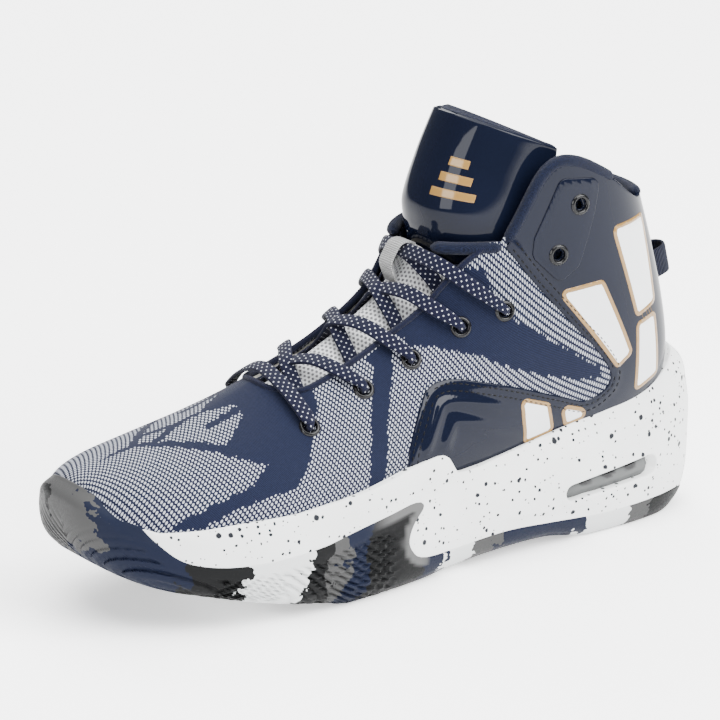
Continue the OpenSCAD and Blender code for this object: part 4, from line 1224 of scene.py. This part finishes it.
loop_spine = rounded(skin([r[0] for r in LOOP], [180.0] * len(LOOP), [r[1] for r in LOOP]), 8)
ahead = tangents(loop_spine, False, 1)
out = unit(np.cross([0.0, 1.0, 0.0], ahead))
side_y = np.tile([0.0, 1.0, 0.0], (len(loop_spine), 1))
ring = ellipse(4.5, 0.55, 20, 0.4) - [0, 0.55]
verts, quads = tube(loop_spine, side_y, out, ring)
run = distances(loop_spine)
wv = np.stack([np.repeat(run, 20), np.tile(ring[:, 0], len(run)), np.zeros(len(verts))], 1)
add("lace_loop", (verts, quads, {"weave": wv}), LOOP_WEB, "shoe", "webbing_grey", "lace_loop")


# ---------------------------------------------------------------- padded tongue shield
HALF_W, SLOPE, TURN, SQUARE = 27.5, 0.42, 100, 0.85


def shield_surf(turn, t, d):
    turn, t, d = np.broadcast_arrays(*(np.atleast_1d(np.asarray(v, float)) for v in (turn, t, d)))
    r, rad = curve(SHIELD, t), np.radians(turn)
    back = r[:, 3] * (1 - np.cos(rad))
    y = (HALF_W + d) * np.sign(turn) * np.abs(np.sin(rad)) ** SQUARE
    return np.stack([r[:, 1] - back + d * np.cos(rad), y + SHIFT, r[:, 2] - SLOPE * back * t], 1)


def shield_norm(turn, t):
    e = 0.5
    around = shield_surf(turn + e, t, 0) - shield_surf(turn - e, t, 0)
    up = shield_surf(turn, np.minimum(t + 0.01, 1), 0) - shield_surf(turn, np.maximum(t - 0.01, 0), 0)
    return unit(np.cross(around, up))


def shield_puff(turn, t):
    """Soft crown of the shield, drawn in along its edges."""
    side = 1 - np.abs(turn / TURN) ** 4
    return 1.1 * side * np.sin(np.pi * np.clip(t, 0, 1)) ** 0.7 - 0.35


face = Sheet.grid(np.linspace(-TURN + 3, TURN - 3, 130), np.linspace(0.012, 0.985, 70))
piece = add("tongue_shield", shell(face, shield_puff, level(-1.4), 1.0, 5, shield_surf, shield_norm),
            PATENT, "tongue", "patent", "tongue_shield", smooth_angle=80)
pad = add("shield_foam", shell(face, level(-1.6), lambda u, t: -5.6 - 0.8 * np.sin(np.pi * t), 1.6, 5,
                               shield_surf, shield_norm), TEXTILE, "tongue", "collar_textile", "shield_foam",
          smooth_angle=80)
add("shield_lining", shell(face, level(-6.0), level(-6.65), 0.2, 1, shield_surf, shield_norm), TEXTILE,
    "tongue", "collar_textile", "shield_lining")
motif = []
for i in range(3):
    low, high = 0.52 + 0.1 * i, 0.57 + 0.1 * i
    us = np.linspace(14 + 4 * i, 50 - 6 * i, 30)
    bar = Sheet.grid(us, np.linspace(low, high, 8))
    motif.append(shell(bar, lambda u, t: shield_puff(u, t) + 0.15, lambda u, t: shield_puff(u, t) - 0.2,
                       0.15, 2, shield_surf, shield_norm))
add("shield_motif", merge(motif), PRINT_GOLD, "tongue", "print_gold", "shield_motif")


# ---------------------------------------------------------------- sole
def sole_surf(t, w, d):
    """Wall of the sole for w from 0 to 1, and its underside for w from 0 down to -1.

    t turns from the heel (0) over the outer side to the toe (180) and back on the inner side (360).
    """
    t, w, d = np.broadcast_arrays(*(np.atleast_1d(np.asarray(v, float)) for v in (t, w, d)))
    side = np.where(t <= 180, 1, -1)
    u = np.where(t <= 180, t, 360 - t)
    rad = np.radians(u)
    heel_s, toe_s = np.maximum(np.cos(rad), 0) ** 2, np.maximum(-np.cos(rad), 0) ** 4
    row = curve(WALL, np.clip(w, 0, 1))
    inset = np.where(w >= 0, -d, 0)
    pull = inset + row[:, 1] + (row[:, 2] - row[:, 1]) * heel_s + (row[:, 3] - row[:, 1]) * toe_s
    rows = curve(OUTLINE, u)
    half = np.where(side > 0, rows[:, 1], rows[:, 2]) * np.sin(rad) ** ROUNDNESS
    x = -(150 - pull) * np.cos(rad)
    y = side * np.maximum(half - pull * np.sin(rad), 0) * np.where(w < 0, 1 + w, 1)
    low = np.maximum(curve(UNDERSIDE, x)[:, 1], 0)
    top = curve(BLOCK_TOP, x)[:, 1]
    z = low + (top - low) * np.clip(w, 0, 1) - np.where(w < 0, d, 0)
    return np.stack([x, y + SHIFT, z], 1)


def sole_norm(t, w):
    e = 0.4
    around = sole_surf(t + e, w, 0) - sole_surf(t - e, w, 0)
    up = sole_surf(t, w + 0.01, 0) - sole_surf(t, w - 0.01, 0)
    n = unit(np.cross(around, up))
    return np.where((w < -0.02)[:, None], [0.0, 0.0, -1.0], -n)


RUBBER_AREA = np.vstack([rounded(RUBBER, 6), [[200, 80], [200, -60], [-200, -60], [-200, 12]]])
ends = [[WINDOW["at"][0] + e[0] * (WINDOW["l"] / 2 - WINDOW["h"] * e[2]), WINDOW["at"][1] + e[1],
         WINDOW["h"] * e[2]] for e in WINDOW["ends"]]


def in_rubber(t, w):
    return inside(sole_surf(t, w, 0)[:, [0, 2]], RUBBER_AREA)


def under_rim(t, w):
    p = sole_surf(t, w, 0)
    return np.interp(p[:, 0], *np.array(RIM, float).T) - p[:, 2]


def in_window(t, w):
    """Distance into the air window: a slot with a large and a small round end."""
    p = sole_surf(t, w, 0)[:, [0, 2]]
    a, b = np.array(ends[0][:2]), np.array(ends[1][:2])
    k = np.clip(((p - a) @ (b - a)) / ((b - a) @ (b - a)), 0, 1)
    r = ends[0][2] + (ends[1][2] - ends[0][2]) * k
    return r - np.linalg.norm(p - a - k[:, None] * (b - a), axis=1)


def lip(t, w):
    """Swell of the rim where it has to clear the upper."""
    x = sole_surf(t, w, 0)[:, 0]
    outer = np.where(t < 180, 1.0, 0.5)
    arch = smooth(x, -34, -16) * smooth(-x, -52, -26)
    heel = smooth(-x, 84, 100)
    toe = smooth(x, 104, 122) * smooth(-x, -142, -130)
    tuck = smooth(x, 138, 149) * smooth(w, 0.62, 0.95)
    return smooth(w, 0.66, 0.95) * outer * (2.4 * arch + 1.6 * heel + 1.7 * toe) - 3.2 * tuck


def heel_grooves(t, w):
    """Fine grooves that follow the rim along the heel, and a soft step under the notch."""
    p = sole_surf(t, w, 0)
    e = under_rim(t, w)
    along = smooth(-p[:, 0], 50, 80)
    out = np.zeros(len(p))
    for at in (13.0, 15.2, 17.4):
        out -= along * 0.6 * np.exp(-((e - at) / 0.6) ** 2)
    low = in_rubber(t, w)
    for at in (-2.2, -4.2):
        out -= smooth(-p[:, 0], 20, 40) * smooth(p[:, 0], -100, -80) * 0.5 * np.exp(-((low - at) / 0.6) ** 2)
    return out + 0.6 * smooth(in_window(t, w), -5, -0.5) * smooth(-p[:, 0], 55, 65)


q = np.linspace(0, 1, 270)
turn = 180 * q ** 1.55 / (q ** 1.55 + (1 - q) ** 1.55)
turns = np.concatenate([turn, 360 - turn[::-1][1:]])
wall = Sheet.grid(turns, np.linspace(0.0, 1.0, 48))
wall = Sheet(wall.uv, wall.tri[:, ::-1])
foam = wall.clip(lambda t, w: -in_rubber(t, w) + 0.8).clip(under_rim).clip(
    lambda t, w: -in_window(t, w) - 0.9)
add("midsole", shell(foam, lambda t, w: heel_grooves(t, w) + lip(t, w), level(-6.5), 0.9, 4,
                     sole_surf, sole_norm),
    FOAM, "shoe", "midsole_foam", "midsole", smooth_angle=60)


def chevrons(x, z):
    """Ribs cut into the rubber, their lean changing every 22 mm."""
    lean = np.where(np.floor(x / 22) % 2 == 0, 1, -1)
    wave = np.abs(((x + lean * z * 1.3) / 5.2) % 1 - 0.5) * 2
    return -1.5 * smooth(wave, 0.50, 0.80)


def rubber_top(t, w):
    p = sole_surf(t, w, 0)
    low = smooth(-p[:, 2], -32 - 0.12 * np.maximum(p[:, 0], 0), -24) * smooth(p[:, 0], 18, 30)
    below_edge = smooth(in_rubber(t, w), 4, 6)
    return 0.4 * smooth(w, 0.0, 0.05) + lip(t, w) + chevrons(p[:, 0] + p[:, 1], p[:, 2]) * low * below_edge


rubber = wall.clip(in_rubber).clip(under_rim)
rt, rw = rubber.uv.T
rp = sole_surf(rt, rw, 0)
rim_mark = smooth(-in_rubber(rt, rw), -3.8, -2.2) * smooth(rp[:, 0], 4, 8) * smooth(-rp[:, 0], -40, -24)
side_part = shell(rubber, rubber_top, level(-3.5), 0.5, 3, sole_surf, sole_norm, {"edge": rim_mark})

BOTTOM_LINE = sole_surf(turns[::3], np.zeros(len(turns[::3])), 0)[:, :2]


def bottom_surf(x, y, d):
    x, y, d = np.broadcast_arrays(*(np.atleast_1d(np.asarray(v, float)) for v in (x, y, d)))
    return np.stack([x, y, np.maximum(curve(UNDERSIDE, x)[:, 1], 0) - d], 1)


def bottom_norm(x, y):
    return np.tile([0.0, 0.0, -1.0], (len(x), 1))


def in_bottom(x, y):
    return inside(np.stack([x, y], 1), BOTTOM_LINE)


def tread(x, y):
    """Herringbone grooves with a plain border, and a shallow channel across the arch."""
    wave = np.abs(((x + 5 * np.abs(((y - SHIFT) / 13) % 2 - 1) * 2) / 6.5) % 1 - 0.5) * 2
    groove = smooth(wave, 0.60, 0.85) * smooth(in_bottom(x, y), 2.5, 4.0)
    arch = smooth(x, -66, -58) * smooth(-x, 8, 16)
    return -2.0 * groove * (1 - 0.6 * arch)


bottom = Sheet.grid(np.arange(-156, 157, 1.15), np.arange(-62, 60, 1.15))
bottom = Sheet(bottom.uv, bottom.tri[:, ::-1]).clip(lambda x, y: in_bottom(x, y) - 0.5)
bottom_part = shell(bottom, tread, level(-3.5), 0.5, 3, bottom_surf, bottom_norm,
                    {"edge": np.zeros(len(bottom.uv))})
add("outsole", merge([side_part, bottom_part]), RUBBER_MAT, "shoe", "outsole_rubber", "outsole",
    smooth_angle=40)

# ---------------------------------------------------------------- air unit behind the window
unit_sheet = wall.clip(lambda t, w: in_window(t, w) + 1.2)
up = sole_surf(unit_sheet.uv[:, 0], unit_sheet.uv[:, 1], 0)
pillar = np.zeros(len(up))
for px in (-84, -97, -110):
    pz = WINDOW["at"][1] + 0.07 * (WINDOW["at"][0] - px) + 2.6
    pillar = np.maximum(pillar, 1 - smooth(np.hypot((up[:, 0] - px) / 4.2, (up[:, 2] - pz) / 2.6), 0.8, 1.1))


def air_top(t, w):
    e = np.clip(in_window(t, w), 0, 4) / 4
    return -4.2 + 1.5 * np.sqrt(1 - (1 - e) ** 2)


add("air_cushion", shell(unit_sheet, air_top, level(-6.0), 0.3, 2, sole_surf, sole_norm,
                         {"pillar": pillar}), AIR, "shoe", "air_unit", "air_cushion")

# ---------------------------------------------------------------- sockliner
def inner_half(side):
    """Edge of the footbed on one side, found where the inner face climbs through its height."""
    line = []
    angles = np.linspace(1, 179, 120) * side
    for s in np.linspace(0.01, 0.80, 110):
        q = skin(np.full(120, s), angles, -3.9)
        over = q[:, 2] - curve(FOOTBED, q[:, 0])[:, 1] - 0.9
        k = np.argmax(over > 0)
        if over[k] > 0 and k > 0:
            m = over[k - 1] / (over[k - 1] - over[k])
            line.append(q[k - 1, :2] + (q[k, :2] - q[k - 1, :2]) * m)
    return np.array(line)


FOOT_LINE = np.vstack([inner_half(1), inner_half(-1)[::-1]])


def bed_surf(x, y, d):
    x, y, d = np.broadcast_arrays(*(np.atleast_1d(np.asarray(v, float)) for v in (x, y, d)))
    return np.stack([x, y, curve(FOOTBED, x)[:, 1] + 0.9 + d], 1)


def bed_norm(x, y):
    return np.tile([0.0, 0.0, 1.0], (len(x), 1))


def in_bed(x, y):
    return inside(np.stack([x, y], 1), FOOT_LINE)


bed = Sheet.grid(np.arange(-140, 148, 2.0), np.arange(-54, 52, 2.0)).clip(lambda x, y: in_bed(x, y) - 0.8)
add("sockliner_cover", shell(bed, lambda x, y: 0.9 * (1 - smooth(in_bed(x, y), 0, 9)), level(-0.8), 0.4, 2,
                             bed_surf, bed_norm), SOCK, "sockliner", "sock_cloth", "sockliner_cover")

# ---------------------------------------------------------------- heel pull tab
plan = rounded([[-1.9, 4.6], [-4.5, 5.6], [-9, 5.2], [-12.7, 3.7], [-14.2, 0], [-12.7, -3.7], [-9, -5.2],
                [-4.5, -5.6], [-1.9, -4.6]], 8)
lean = math.radians(TAB["lean"])


def tab_world(q):
    """Points of the leaning tab, from its own frame at the root."""
    x = q[..., 0] * math.cos(lean) + q[..., 2] * math.sin(lean) + TAB["root"][0]
    z = -q[..., 0] * math.sin(lean) + q[..., 2] * math.cos(lean) + TAB["root"][1]
    return np.stack([x, q[..., 1] + SHIFT, z], -1)


path = np.hstack([plan, np.zeros((len(plan), 1))])
ahead = tangents(path, False, 1)
out = np.cross(ahead, [0.0, 0.0, 1.0])
ring = ellipse(6.4, 0.75, 24, 0.35)
half_h = np.minimum(1, np.sqrt(np.maximum(15 ** 2 - (plan[:, 0] + 15) ** 2, 1)) / 6.5)
local = (path[:, None] + (ring[None, :, 0] * half_h[:, None])[..., None] * np.array([0.0, 0.0, 1.0])
         + ring[None, :, 1:2] * out[:, None])
verts = tab_world(local).reshape(-1, 3)
quads = tube(path, out, out, ring)[1]
run = distances(path)
wv = np.stack([np.repeat(run, 24), np.tile(ring[:, 0], len(run)), np.zeros(len(verts))], 1)
add("pull_tab", (verts, [g[:, ::-1] for g in quads], {"weave": wv}), TAB_WEB, "pull_tab", "webbing_navy",
    "pull_tab")

# ---------------------------------------------------------------- hidden CAD parts and the floor
for node, material in {"strobel_board": STIFF, "toe_puff": STIFF, "eyestay_backing": STIFF,
                       "vamp_padding": LINING, "heel_counter": LINING, "collar_foam": TEXTILE,
                       "tongue_mesh_foam": PAD, "sockliner_foam": PAD, "aglets": AGLET}.items():
    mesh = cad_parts[node].data
    mesh.materials.clear()
    mesh.materials.append(material)

floor_mat = Shader("floor", (0.86, 0.86, 0.86), 0.9)
floor_grain = floor_mat.noise(400, 2)
floor_material = floor_mat.finish(floor_mat.mix(floor_grain, (0.88, 0.88, 0.88), (0.92, 0.92, 0.92)),
                                  None, floor_grain, 0.00005, 0.1)
floor_mat.bsdf.inputs["Emission Color"].default_value = (1, 1, 1, 1)
floor_mat.bsdf.inputs["Emission Strength"].default_value = 0.8
floor = make_object("floor", np.array([[-6000, -6000, -0.2], [6000, -6000, -0.2], [6000, 6000, -0.2],
                                       [-6000, 6000, -0.2]]), np.array([[0, 1, 2, 3]]), floor_material)
floor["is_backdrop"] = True

low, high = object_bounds()
